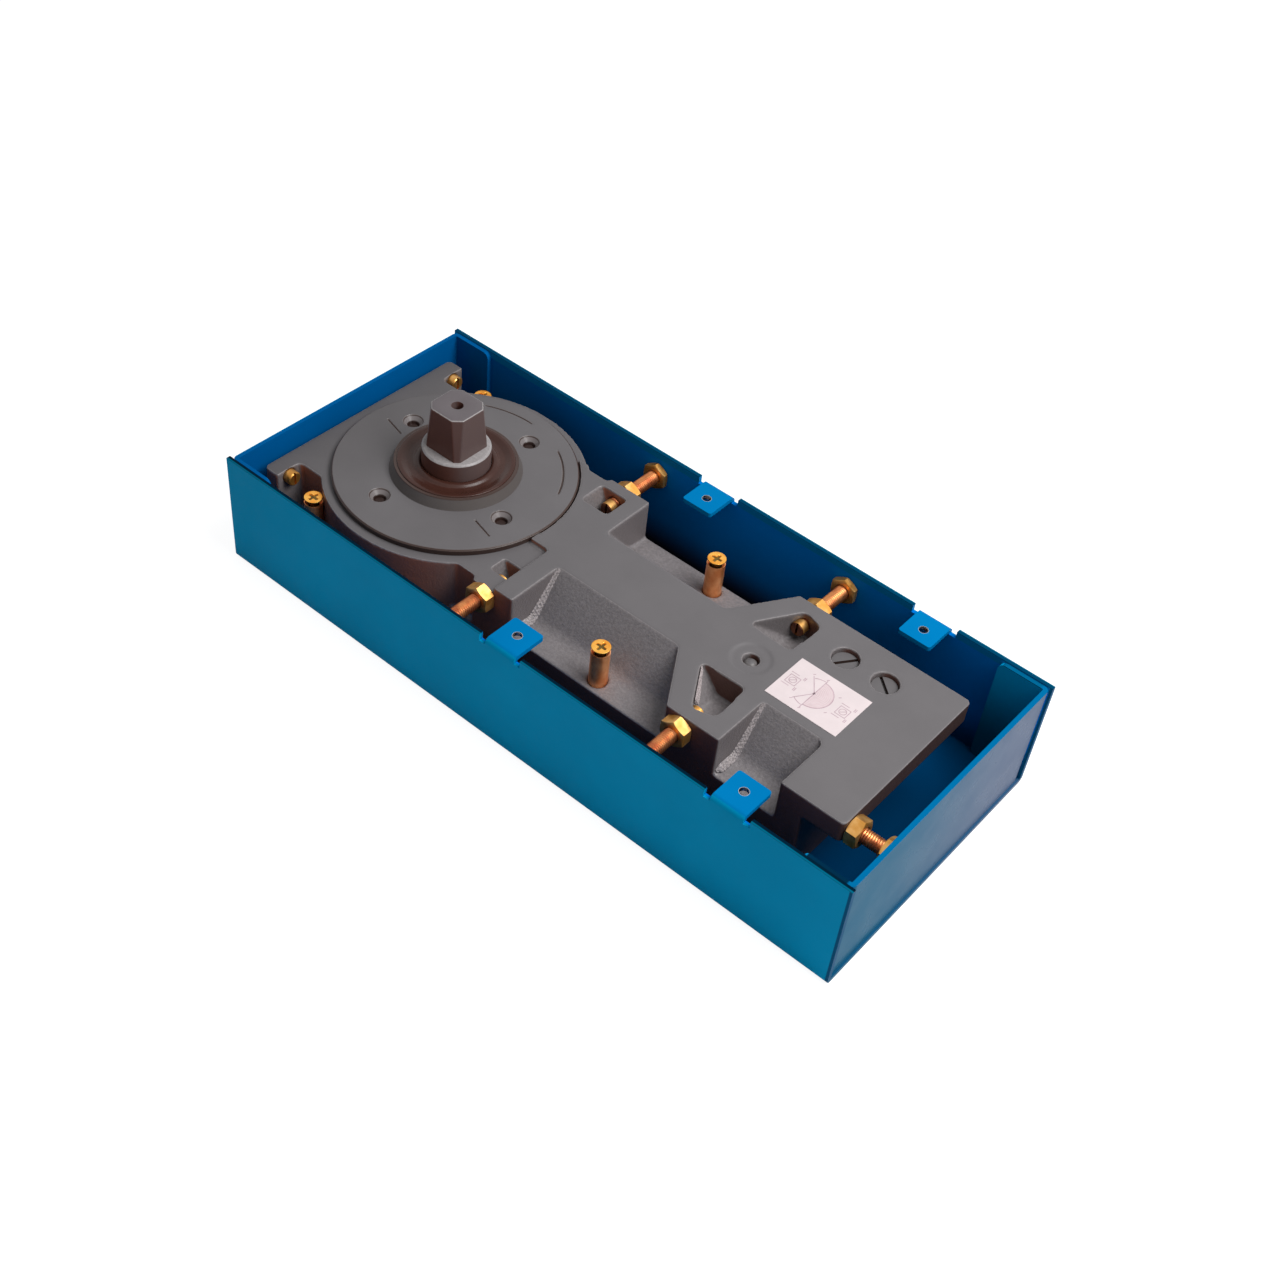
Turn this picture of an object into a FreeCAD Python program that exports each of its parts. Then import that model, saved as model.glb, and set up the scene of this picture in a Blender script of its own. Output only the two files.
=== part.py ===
import FreeCAD, Part
import math
import os

# Floor spring door closer, in millimetres.
# A cast closer body with a heart cam, spring and damping piston stands in an open
# sheet-steel box that is set into the floor. The door is driven by the square spindle.
# The origin is the point on the spindle axis at the underside of the box.
# X runs along the box from the spindle end to the valve end, Y to its back wall, Z up.

# Box
BOX_LENGTH = 320.0
BOX_WIDTH = 136.0
BOX_HEIGHT = 55.0
SHEET = 2.0
SPINDLE_TO_BOX_END = 66.0
BEND_RADIUS = 2.5
END_WALL_INSET = 1.0
END_WALL_DROP = 0.6
FLAP_LENGTH = 22.0
FLAP_CORNER = 3.0

# Cover-plate tabs on the rim
TAB_FROM_LEFT = 155.5
TAB_FROM_RIGHT = 54.5
TAB_HOLE_INSET = 10.0
TAB_WIDTH = 15.0
TAB_REACH = 17.0
TAB_DROP = 0.6
TAB_HOLE_RADIUS = 2.1
TAB_CORNER = 1.2
RIM_NOTCH_WIDTH = 3.0
RIM_NOTCH_DEPTH = 3.5

# Closer body, heights
BODY_BOTTOM = 5.0
BODY_TOP = 50.5
STEP_HEIGHT = 2.8
EAR_TOP = 24.0
LEDGE_TOP = 32.0
LIP_THICKNESS = 10.5

# Closer body, plan
HEAD_RADIUS = 56.5
TRUNK_HALF_WIDTH = 42.3
PLATE_TO_WALL = 4.8
PLATE_TO_LONG_WALL = 11.0
PLATE_END_THICKNESS = 8.2
PLATE_CORNER = 2.0
STEP_X = 62.0
STEP_Y = 10.0
LUG_END_X = 72.0
LUG_START_X = 50.5
LUG_NECK_DEPTH = 2.4
WEB_HALF_WIDTH = 14.5
SLOPE_FOOT = 30.0
LIP_TO_WALL = 17.8
LIP_OVERHANG = 17.2
END_BLOCK_LENGTH = 28.7
RECESS_LENGTH = 28.5
SHOULDER_LENGTH = 25.0
SHOULDER_SKEW = 17.0
CORNER_RADIUS = 4.0
SMALL_RADIUS = 2.0

# Pockets at the tips of the side screws
LUG_POCKET_START_X = 50.2
LUG_POCKETS = {"front": (61.7, 24.3, 32.6), "back": (64.3, 23.5, 36.6)}
SHOULDER_POCKET = ((-12.7, 14.8, 2.0), (8.3, 14.5, 2.0), (9.7, 33.6, 4.0), (0.0, 36.4, 3.0))
POCKET_DEPTH = 12.5

# Threaded head cover
COVER_RADIUS = 52.2
COVER_THREAD_RADIUS = 49.8
COVER_RIM_GAP = 0.6
SPANNER_CIRCLE = 36.5
SPANNER_ANGLE = -15.0
SPANNER_SINK_RADIUS = 4.6
SPANNER_HOLE_RADIUS = 2.5
SPANNER_DEPTH = 3.4
BOSS_BASE_RADIUS = 28.2
BOSS_TOP_RADIUS = 26.2
BOSS_HEIGHT = 4.6
GROOVE_RADIUS = 45.0
GROOVE_WIDTH = 0.8
GROOVE_DEPTH = 0.5
GROOVE_ARCS = ((24.0, 61.0), (88.0, 118.0))
INDEX_LINES = ((-43.6, 1.9), (28.7, -18.7))
INDEX_LINE_LENGTH = 11.5
SEAL_RADIUS = 24.9
SEAL_STAND = 0.5
SEAL_LIP_GAP = 0.15

# Spindle
SPINDLE_TOP = 83.5
COLLAR_RADIUS = 14.7
COLLAR_TOP = 63.3
COLLAR_CHAMFER = 0.8
SHAFT_RADIUS = 11.0
JOURNAL_RADIUS = 10.0
TAPER_BASE_HALF = 9.9
TAPER_TOP_HALF = 9.3
TAPER_BASE_FLAT = 12.6
TAPER_TOP_FLAT = 10.6
SPINDLE_THREAD_RADIUS = 2.5
SPINDLE_THREAD_DEPTH = 12.0

# Cam and carriage
CAM_REST_PITCH = 23.0
CAM_RISE_PER_RADIAN = 6.0
OPENING_ANGLE = 130.0
ROLLER_RADIUS = 8.0
ROLLER_GAP = 0.1
ROLLER_PIN_RADIUS = 4.0
CAM_THICKNESS = 15.0
CAM_PROFILE_SPANS = 14
KEY_WIDTH = 6.0
KEY_DEPTH = 2.5
KEY_LENGTH = 13.0
PLATE_THICKNESS = 4.0
PLATE_SLIDE_HALF_WIDTH = 17.0
PLATE_NOSE_HALF_WIDTH = 7.0
CHAMBER_FLOOR = 12.0
CHAMBER_RADIUS = 47.5
BLOCK_LENGTH = 15.0
BLOCK_HALF_WIDTH = 10.0

# Spring, rod and piston
BORE_RADIUS = 15.5
ROD_RADIUS = 5.0
SHOULDER_WALL = 8.0
BUSH_WALL = 2.0
SPRING_SEAT = 2.0
PISTON_TO_PLUG = 29.5
SPRING_OUTER_RADIUS = 14.6
SPRING_WIRE_WIDTH = 5.0
SPRING_WIRE_HEIGHT = 5.6
SPRING_PITCH = 10.15
PISTON_LENGTH = 28.0
PISTON_RING_WIDTH = 3.0
PISTON_RING_DEPTH = 1.6
BALL_RADIUS = 2.0
ROD_NUT_LENGTH = 5.0
PLUG_THREAD_LENGTH = 14.0
PLUG_SOCKET = 12.0

# Bearings
NEEDLE_RADIUS = 1.6
NEEDLE_COUNT = 12
BEARING_SHELL = 2.4
BEARING_LENGTH = 9.0
THRUST_ROLLER_RADIUS = 1.5
THRUST_ROLLER_COUNT = 12
THRUST_RADIUS = 15.0
THRUST_PLATE = 1.0

# Speed valves, filler plug and label
VALVE_Y = 26.6
VALVE_BACK = (48.4, 29.6)
VALVE_SLOT_ANGLES = (55.0, -40.0)
VALVE_RADIUS = 5.6
VALVE_STEM_RADIUS = 3.2
VALVE_RECESS = 2.2
VALVE_HEAD_HEIGHT = 7.0
VALVE_SLOT_WIDTH = 1.4
VALVE_SLOT_DEPTH = 1.6
PASSAGE_RADIUS = 1.5
PASSAGE_Z = 28.0
FILLER_BACK = 74.5
FILLER_RADIUS = 3.4
FILLER_RECESS = 1.4
FILLER_RING_RADIUS = 8.5
FILLER_LENGTH = 8.0
LABEL_BACK = (60.4, 27.2)
LABEL_Y = (-10.2, 14.2)
LABEL_THICKNESS = 0.2

# Adjusting screws that bear on the box walls
SCREW_Z = 44.0
SCREW_RADIUS = 3.2
SCREW_HEAD_LENGTH = 3.2
SCREW_TRAVEL = 4.0
LUG_SCREW_X = 57.5
SHOULDER_SCREW_BACK = 74.7
SIDE_TIP_Y = 31.2
HEXAGON_AF = 11.0
SIDE_NUT_LENGTH = 5.5
END_SCREW_INSET = 6.5
END_TIP_STAND = 3.5
RIGHT_SCREW_Y = -36.0
RIGHT_TIP_BACK = 15.2
SLOT_WIDTH = 1.2
SLOT_DEPTH = 1.5

# Height sleeves with clamp screws inside
SLEEVE_RADIUS = 3.95
SLEEVE_BORE = 2.4
CLAMP_RADIUS = 2.0
CLAMP_HEAD_RADIUS = 4.0
CLAMP_HEAD_HEIGHT = 2.2
SLEEVE_SINK = 1.2
CORNER_SLEEVE_X = -33.0
CORNER_SLEEVE_INSET = 4.3
MIDDLE_SLEEVE_SHARE = 0.6645
MIDDLE_SLEEVE_INSET = 6.3
CORNER_CLAMP_TOP = 44.0
MIDDLE_CLAMP_TOP = 50.0
NOTCH_INNER_Y = 42.4
CROSS_WIDTH = 1.1
CROSS_LENGTH = 4.2
CROSS_DEPTH = 1.2

# Clearances
WALL_GAP = 0.3
SLIDE_GAP = 0.3
RUNNING_GAP = 0.08
THREAD_GAP = 0.1
RING_SECTION = 1.3

# Derived sizes
BOX_LEFT = -SPINDLE_TO_BOX_END
BOX_RIGHT = BOX_LEFT + BOX_LENGTH
BOX_INNER_Y = BOX_WIDTH / 2 - SHEET
LEFT_WALL_INNER = BOX_LEFT + END_WALL_INSET + SHEET
RIGHT_WALL_INNER = BOX_RIGHT - END_WALL_INSET - SHEET
PLATE_REACH = -LEFT_WALL_INNER - PLATE_TO_WALL
PLATE_HALF_WIDTH = BOX_INNER_Y - PLATE_TO_LONG_WALL
LIP_END_X = RIGHT_WALL_INNER - LIP_TO_WALL
BODY_END_X = LIP_END_X - LIP_OVERHANG
RECESS_END_X = LIP_END_X - END_BLOCK_LENGTH
RECESS_START_X = RECESS_END_X - RECESS_LENGTH
SHOULDER_START_X = RECESS_START_X - SHOULDER_LENGTH
WAIST_END_X = SHOULDER_START_X - SHOULDER_SKEW
VALVE_X = tuple(LIP_END_X - back for back in VALVE_BACK)
FILLER_X = LIP_END_X - FILLER_BACK
LABEL_X = tuple(LIP_END_X - back for back in LABEL_BACK)
SHOULDER_SCREW_X = LIP_END_X - SHOULDER_SCREW_BACK
SIDE_SCREW_X = (LUG_SCREW_X, SHOULDER_SCREW_X)
RIGHT_TIP_X = LIP_END_X - RIGHT_TIP_BACK
END_SCREW_Y = PLATE_HALF_WIDTH - END_SCREW_INSET
NOTCH_START_X = -PLATE_REACH + PLATE_END_THICKNESS
END_TIP_X = NOTCH_START_X + END_TIP_STAND
CORNER_SLEEVE = (CORNER_SLEEVE_X, PLATE_HALF_WIDTH - CORNER_SLEEVE_INSET)
MIDDLE_SLEEVE = (LUG_END_X + MIDDLE_SLEEVE_SHARE * (WAIST_END_X - LUG_END_X),
                 TRUNK_HALF_WIDTH - MIDDLE_SLEEVE_INSET)
DECK_TOP = BODY_TOP - STEP_HEIGHT
LIP_BOTTOM = BODY_TOP - LIP_THICKNESS
LOWER_PLATE_Z = CHAMBER_FLOOR + SLIDE_GAP
CAM_Z = LOWER_PLATE_Z + PLATE_THICKNESS + SLIDE_GAP
UPPER_PLATE_Z = CAM_Z + CAM_THICKNESS + SLIDE_GAP
CARRIAGE_TOP = UPPER_PLATE_Z + PLATE_THICKNESS
COVER_BOTTOM = CARRIAGE_TOP + SLIDE_GAP
ROD_Z = (LOWER_PLATE_Z + CARRIAGE_TOP) / 2
STROKE = CAM_RISE_PER_RADIAN * math.radians(OPENING_ANGLE)
RETURN_ROLLER_X = CAM_REST_PITCH + CAM_RISE_PER_RADIAN * math.pi
BLOCK_X = RETURN_ROLLER_X + ROLLER_RADIUS + 2 * SLIDE_GAP
CARRIAGE_END_X = BLOCK_X + BLOCK_LENGTH
SHOULDER_X = CARRIAGE_END_X + 2 * SLIDE_GAP
SEAT_X = SHOULDER_X + SHOULDER_WALL
SPRING_X = SEAT_X + SPRING_SEAT + SLIDE_GAP
PLUG_X = BODY_END_X - PLUG_THREAD_LENGTH
PISTON_END_X = PLUG_X - PISTON_TO_PLUG
PISTON_X = PISTON_END_X - PISTON_LENGTH
SPRING_LENGTH = PISTON_X - SLIDE_GAP - SPRING_X
SPRING_TURNS = SPRING_LENGTH / SPRING_PITCH
BOSS_TOP = BODY_TOP + BOSS_HEIGHT
SEAL_BOTTOM = BODY_TOP - 1.0
COLLAR_BOTTOM = SEAL_BOTTOM + SLIDE_GAP
BEARING_RADIUS = SHAFT_RADIUS + 2 * (NEEDLE_RADIUS + THREAD_GAP) + BEARING_SHELL
BEARING_Z = COVER_BOTTOM + 1.5
THRUST_FLOOR = CHAMBER_FLOOR - 2 * THRUST_PLATE - 2 * THRUST_ROLLER_RADIUS
SPINDLE_BOTTOM = THRUST_FLOOR + THRUST_PLATE + SLIDE_GAP
TAB_TOP = BOX_HEIGHT - TAB_DROP
TAB_HOLES_X = (BOX_LEFT + TAB_FROM_LEFT, BOX_RIGHT - TAB_FROM_RIGHT)
TAB_HOLE_Y = BOX_WIDTH / 2 - TAB_HOLE_INSET
POCKET_FLOOR = BODY_TOP - POCKET_DEPTH
BEYOND = 1.0
SIDES = {"front": -1, "back": 1}


def rounded_wire(points, place):
    """Closed wire through (u, v, radius) corners; each corner is an arc tangent to its two sides."""
    arcs = []
    count = len(points)
    for i in range(count):
        u, v, radius = points[i]
        before = FreeCAD.Vector(points[i - 1][0] - u, points[i - 1][1] - v, 0)
        after = FreeCAD.Vector(points[(i + 1) % count][0] - u, points[(i + 1) % count][1] - v, 0)
        corner = FreeCAD.Vector(u, v, 0)
        if radius <= 0:
            arcs.append((corner, None, corner))
            continue
        before.normalize()
        after.normalize()
        half = before.getAngle(after) / 2
        reach = radius / math.tan(half)
        middle = (before + after).normalize()
        centre = corner + middle * (radius / math.sin(half))
        arcs.append((corner + before * reach, centre - middle * radius, corner + after * reach))
    edges = []
    for i in range(count):
        start, middle, end = [None if p is None else place(p.x, p.y) for p in arcs[i]]
        if middle is not None:
            edges.append(Part.Arc(start, middle, end).toShape())
        following = place(arcs[(i + 1) % count][0].x, arcs[(i + 1) % count][0].y)
        edges.append(Part.makeLine(end, following))
    return Part.Wire(edges)


def plan_prism(points, bottom, top):
    """Upright solid on a plan outline of (x, y, radius) corners."""
    wire = rounded_wire(points, lambda u, v: FreeCAD.Vector(u, v, bottom))
    return Part.Face(wire).extrude(FreeCAD.Vector(0, 0, top - bottom))


def cross_prism(points, start, end):
    """Solid along X on a cross-section of (y, z, radius) corners."""
    wire = rounded_wire(points, lambda u, v: FreeCAD.Vector(start, u, v))
    return Part.Face(wire).extrude(FreeCAD.Vector(end - start, 0, 0))


def side_prism(points, start, end):
    """Solid along Y on a side outline of (x, z, radius) corners."""
    wire = rounded_wire(points, lambda u, v: FreeCAD.Vector(u, start, v))
    return Part.Face(wire).extrude(FreeCAD.Vector(0, end - start, 0))


def block(x0, x1, y0, y1, z0, z1):
    return Part.makeBox(x1 - x0, y1 - y0, z1 - z0, FreeCAD.Vector(x0, y0, z0))


def post(radius, bottom, top, x=0.0, y=0.0):
    return Part.makeCylinder(radius, top - bottom, FreeCAD.Vector(x, y, bottom))


def bar(radius, start, end):
    """Round bar between two points."""
    a = FreeCAD.Vector(*start)
    b = FreeCAD.Vector(*end)
    return Part.makeCylinder(radius, (b - a).Length, a, b - a)


def cone(radius0, radius1, bottom, top, x=0.0, y=0.0):
    return Part.makeCone(radius0, radius1, top - bottom, FreeCAD.Vector(x, y, bottom))


def hexagon(across_flats, start, end):
    """Hexagonal bar between two points, with two flats upright or level."""
    a = FreeCAD.Vector(*start)
    axis = FreeCAD.Vector(*end) - a
    side = FreeCAD.Vector(0, 0, 1) if abs(axis.z) < 0.5 * axis.Length else FreeCAD.Vector(1, 0, 0)
    across = axis.cross(side).normalize()
    radius = across_flats / math.sqrt(3)
    corners = []
    for i in range(7):
        turn = math.radians(60 * i)
        corners.append(a + side * (radius * math.cos(turn)) + across * (radius * math.sin(turn)))
    return Part.Face(Part.makePolygon(corners)).extrude(axis)


def mirrored(points, sign):
    """Plan or cross-section corners on the back side (sign 1) or the front side (sign -1)."""
    return [(x, sign * y, radius) for x, y, radius in points]


def fused(shapes):
    result = shapes[0]
    for shape in shapes[1:]:
        result = result.fuse(shape)
    return result.removeSplitter()


def make_cement_box():
    """Folded floor and long walls, with four rim tabs bent inwards over relief notches."""
    half = BOX_WIDTH / 2
    box = cross_prism([
        (-half, BOX_HEIGHT, 0), (-half, 0, BEND_RADIUS), (half, 0, BEND_RADIUS), (half, BOX_HEIGHT, 0),
    ], BOX_LEFT, BOX_RIGHT).cut(room_in_fold())
    for sign in SIDES.values():
        for x in TAB_HOLES_X:
            cut_half = TAB_WIDTH / 2 + RIM_NOTCH_WIDTH
            wall = sorted((sign * (half - SHEET - BEYOND), sign * (half + BEYOND)))
            rim = block(x - cut_half, x + cut_half, wall[0], wall[1], BOX_HEIGHT - RIM_NOTCH_DEPTH,
                        BOX_HEIGHT + BEYOND)
            box = box.cut(rim).fuse(rim_tab(x, sign))
    holes = [post(CLAMP_RADIUS, -BEYOND, SHEET + BEYOND, x, y) for x, y in sleeve_places()]
    return box.removeSplitter().cut(fused(holes))


def room_in_fold():
    """Space between the long walls, down to the floor and its two bends."""
    inner_bend = BEND_RADIUS - SHEET
    return cross_prism([
        (-BOX_INNER_Y, BOX_HEIGHT + BEYOND, 0), (-BOX_INNER_Y, SHEET, inner_bend),
        (BOX_INNER_Y, SHEET, inner_bend), (BOX_INNER_Y, BOX_HEIGHT + BEYOND, 0),
    ], BOX_LEFT - BEYOND, BOX_RIGHT + BEYOND)


def rim_tab(x, sign):
    """One tab: a bent strip that rises from the wall, turns inwards and has a tapped hole."""
    half = BOX_WIDTH / 2
    foot = BOX_HEIGHT - RIM_NOTCH_DEPTH
    section = [
        (half, foot, 0), (half, TAB_TOP, BEND_RADIUS), (half - TAB_REACH, TAB_TOP, 0),
        (half - TAB_REACH, TAB_TOP - SHEET, 0), (half - SHEET, TAB_TOP - SHEET, BEND_RADIUS - SHEET),
        (half - SHEET, foot, 0),
    ]
    strip = cross_prism(mirrored_section(section, sign), x - TAB_WIDTH / 2, x + TAB_WIDTH / 2)
    outline = [
        (x - TAB_WIDTH / 2, half, 0), (x + TAB_WIDTH / 2, half, 0),
        (x + TAB_WIDTH / 2, half - TAB_REACH, TAB_CORNER),
        (x - TAB_WIDTH / 2, half - TAB_REACH, TAB_CORNER),
    ]
    strip = strip.common(plan_prism(mirrored(outline, sign), 0, BOX_HEIGHT))
    return strip.cut(post(TAB_HOLE_RADIUS, 0, BOX_HEIGHT, x, sign * TAB_HOLE_Y))


def mirrored_section(points, sign):
    return [(sign * y, z, radius) for y, z, radius in points]


def make_end_wall(outer_x, inward):
    """End wall standing on the floor, with a flap folded along the inside of each long wall."""
    top = BOX_HEIGHT - END_WALL_DROP
    edge = BOX_INNER_Y
    inner = outer_x + inward * SHEET
    tip = outer_x + inward * FLAP_LENGTH
    plan = [
        (outer_x, -edge, BEND_RADIUS), (outer_x, edge, BEND_RADIUS), (tip, edge, 0),
        (tip, edge - SHEET, 0), (inner, edge - SHEET, BEND_RADIUS - SHEET),
        (inner, -edge + SHEET, BEND_RADIUS - SHEET), (tip, -edge + SHEET, 0), (tip, -edge, 0),
    ]
    wall = plan_prism(plan, SHEET, top)
    side = [
        (outer_x, SHEET, 0), (outer_x, top, 0), (tip, top, FLAP_CORNER), (tip, SHEET, FLAP_CORNER),
    ]
    return wall.common(side_prism(side, -edge, edge)).common(room_in_fold())


def sleeve_places():
    places = []
    for x, y in (CORNER_SLEEVE, MIDDLE_SLEEVE):
        for sign in SIDES.values():
            places.append((x, sign * y))
    return places


def waist_recess(sign, start, end_top, end_foot):
    """Space beside the web: a slope from the web's edge down to a ledge, between two upright walls."""
    outer = TRUNK_HALF_WIDTH + BEYOND
    top = BODY_TOP + BEYOND
    profile = [
        (WEB_HALF_WIDTH, BODY_TOP, 0), (WEB_HALF_WIDTH, top, 0), (outer, top, 0),
        (outer, LEDGE_TOP - BEYOND, 0), (SLOPE_FOOT, LEDGE_TOP, 2 * CORNER_RADIUS),
    ]
    plan = [
        (start, WEB_HALF_WIDTH, SMALL_RADIUS), (end_top, WEB_HALF_WIDTH, CORNER_RADIUS),
        (end_foot, TRUNK_HALF_WIDTH, 0), (end_foot, outer, 0), (start, outer, 0),
    ]
    slope = cross_prism(mirrored_section(profile, sign), start, max(end_top, end_foot))
    return slope.common(plan_prism(mirrored(plan, sign), 0, top))


def scoop(start, screw_x, end, sign, inner, outer):
    """Space that slopes down from the deck to a floor under a side screw's tip, and ends upright."""
    outline = [
        (start, BODY_TOP + BEYOND, 0), (start, BODY_TOP, 0),
        (screw_x - SCREW_RADIUS, POCKET_FLOOR, SMALL_RADIUS),
        (end, POCKET_FLOOR, 0), (end, BODY_TOP + BEYOND, 0),
    ]
    span = sorted((sign * inner, sign * outer))
    return side_prism(outline, span[0], span[1])


def lug_pocket(side, sign):
    """Pocket in a head lug where a side screw's tip is reached."""
    end, inner, outer = LUG_POCKETS[side]
    plan = [
        (LUG_POCKET_START_X, inner, SMALL_RADIUS), (end, inner, SMALL_RADIUS),
        (end, outer, SMALL_RADIUS), (LUG_POCKET_START_X, outer, SMALL_RADIUS),
    ]
    slope = scoop(LUG_POCKET_START_X, LUG_SCREW_X, end + BEYOND, sign, 0, TRUNK_HALF_WIDTH)
    return slope.common(plan_prism(mirrored(plan, sign), 0, BODY_TOP + BEYOND))


def shoulder_pocket(sign):
    """Four-sided pocket in a shoulder, its floor a slope that starts at the pocket's sharp corner."""
    plan = [(SHOULDER_SCREW_X + x, y, radius) for x, y, radius in SHOULDER_POCKET]
    slope = scoop(plan[0][0], SHOULDER_SCREW_X, plan[2][0] + BEYOND, sign, 0, TRUNK_HALF_WIDTH)
    return slope.common(plan_prism(mirrored(plan, sign), 0, BODY_TOP + BEYOND))


def corner_notch(sign):
    """Notch up to the head's round wall, for a height sleeve and the tip of an end screw."""
    beyond_plate = PLATE_HALF_WIDTH + BEYOND
    outline = [
        (NOTCH_START_X, NOTCH_INNER_Y, SMALL_RADIUS), (0, NOTCH_INNER_Y, 0), (0, beyond_plate, 0),
        (NOTCH_START_X, beyond_plate, 0),
    ]
    space = plan_prism(mirrored(outline, sign), EAR_TOP, BODY_TOP + BEYOND)
    return space.cut(post(HEAD_RADIUS, 0, BODY_TOP + 2 * BEYOND))


def lug_neck(sign):
    """Flat between the head's round wall and a lug, set in from the lug's face."""
    inner = TRUNK_HALF_WIDTH - LUG_NECK_DEPTH
    outer = TRUNK_HALF_WIDTH + BEYOND
    outline = [(0, inner, 0), (LUG_START_X, inner, SMALL_RADIUS), (LUG_START_X, outer, 0), (0, outer, 0)]
    space = plan_prism(mirrored(outline, sign), EAR_TOP, BODY_TOP + BEYOND)
    return space.cut(post(HEAD_RADIUS, 0, BODY_TOP + 2 * BEYOND))


def body_blank():
    """Outside form of the casting."""
    ears = plan_prism([
        (-PLATE_REACH, -PLATE_HALF_WIDTH, PLATE_CORNER), (0, -PLATE_HALF_WIDTH, 0),
        (0, PLATE_HALF_WIDTH, 0), (-PLATE_REACH, PLATE_HALF_WIDTH, PLATE_CORNER),
    ], BODY_BOTTOM, DECK_TOP)
    head = post(HEAD_RADIUS, BODY_BOTTOM, DECK_TOP)
    trunk = plan_prism([
        (0, -TRUNK_HALF_WIDTH, 0), (LIP_END_X, -TRUNK_HALF_WIDTH, SMALL_RADIUS),
        (LIP_END_X, TRUNK_HALF_WIDTH, SMALL_RADIUS), (0, TRUNK_HALF_WIDTH, 0),
    ], BODY_BOTTOM, BODY_TOP)
    under_lip = block(BODY_END_X, LIP_END_X + BEYOND, -BOX_WIDTH, BOX_WIDTH, 0, LIP_BOTTOM)
    deck = plan_prism([
        (-BEYOND, -BOX_WIDTH, 0), (STEP_X, -BOX_WIDTH, 0), (STEP_X, -STEP_Y, SMALL_RADIUS),
        (0, -STEP_Y, 0), (0, COVER_RADIUS / 2, 0), (TRUNK_HALF_WIDTH, COVER_RADIUS, 0),
        (-BEYOND, BOX_WIDTH, 0),
    ], DECK_TOP, BODY_TOP + BEYOND)
    blank = fused([ears, head, trunk])
    blank = blank.cut(under_lip).cut(deck)
    blank = blank.cut(post(COVER_RADIUS + COVER_RIM_GAP, DECK_TOP, BODY_TOP + BEYOND))
    for side, sign in SIDES.items():
        blank = blank.cut(waist_recess(sign, LUG_END_X, WAIST_END_X, SHOULDER_START_X))
        blank = blank.cut(corner_notch(sign)).cut(lug_neck(sign))
        blank = blank.cut(lug_pocket(side, sign)).cut(shoulder_pocket(sign))
    return blank.cut(waist_recess(SIDES["front"], RECESS_START_X, RECESS_END_X, RECESS_END_X))


def make_closer_body():
    """Casting with the cam chamber, the carriage channel, the cylinder bore and its drillings."""
    hollow = [
        post(CHAMBER_RADIUS, CHAMBER_FLOOR, DECK_TOP),
        post(COVER_THREAD_RADIUS, COVER_BOTTOM, DECK_TOP + BEYOND),
        post(THRUST_RADIUS, THRUST_FLOOR, CHAMBER_FLOOR + BEYOND),
        block(0, SHOULDER_X, -PLATE_SLIDE_HALF_WIDTH - SLIDE_GAP, PLATE_SLIDE_HALF_WIDTH + SLIDE_GAP,
              CHAMBER_FLOOR, COVER_BOTTOM),
        bar(ROD_RADIUS + BUSH_WALL, (SHOULDER_X, 0, ROD_Z), (SEAT_X, 0, ROD_Z)),
        bar(BORE_RADIUS, (SEAT_X, 0, ROD_Z), (BODY_END_X + BEYOND, 0, ROD_Z)),
        post(FILLER_RADIUS, ROD_Z, BODY_TOP + BEYOND, FILLER_X),
        post(FILLER_RING_RADIUS, BODY_TOP - GROOVE_DEPTH, BODY_TOP + BEYOND, FILLER_X),
    ]
    for x in VALVE_X:
        hollow.append(post(VALVE_RADIUS + THREAD_GAP, BODY_TOP - VALVE_RECESS - VALVE_HEAD_HEIGHT,
                           BODY_TOP + BEYOND, x, VALVE_Y))
        hollow.append(post(VALVE_STEM_RADIUS + THREAD_GAP, PASSAGE_Z, BODY_TOP, x, VALVE_Y))
        hollow.append(bar(PASSAGE_RADIUS, (x, 0, PASSAGE_Z), (x, VALVE_Y, PASSAGE_Z)))
    for sign in SIDES.values():
        for x in SIDE_SCREW_X:
            hollow.append(bar(SCREW_RADIUS + THREAD_GAP, (x, sign * (SIDE_TIP_Y - BEYOND), SCREW_Z),
                              (x, sign * (TRUNK_HALF_WIDTH + BEYOND), SCREW_Z)))
        hollow.append(bar(SCREW_RADIUS + THREAD_GAP, (-PLATE_REACH - BEYOND, sign * END_SCREW_Y, SCREW_Z),
                          (END_TIP_X, sign * END_SCREW_Y, SCREW_Z)))
    hollow.append(bar(SCREW_RADIUS + THREAD_GAP, (RIGHT_TIP_X - right_screw_travel() - BEYOND,
                      RIGHT_SCREW_Y, SCREW_Z), (LIP_END_X + BEYOND, RIGHT_SCREW_Y, SCREW_Z)))
    for x, y in sleeve_places():
        hollow.append(post(SLEEVE_RADIUS + THREAD_GAP, 0, BODY_TOP, x, y))
    body = body_blank()
    for space in hollow:
        body = body.cut(space)
    return body.removeSplitter()


def right_screw_travel():
    """How far the right screw backs off before its head meets the lock nut."""
    room = LIP_TO_WALL - WALL_GAP - SCREW_HEAD_LENGTH - SIDE_NUT_LENGTH
    return min(SCREW_TRAVEL, room - WALL_GAP)


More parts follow.
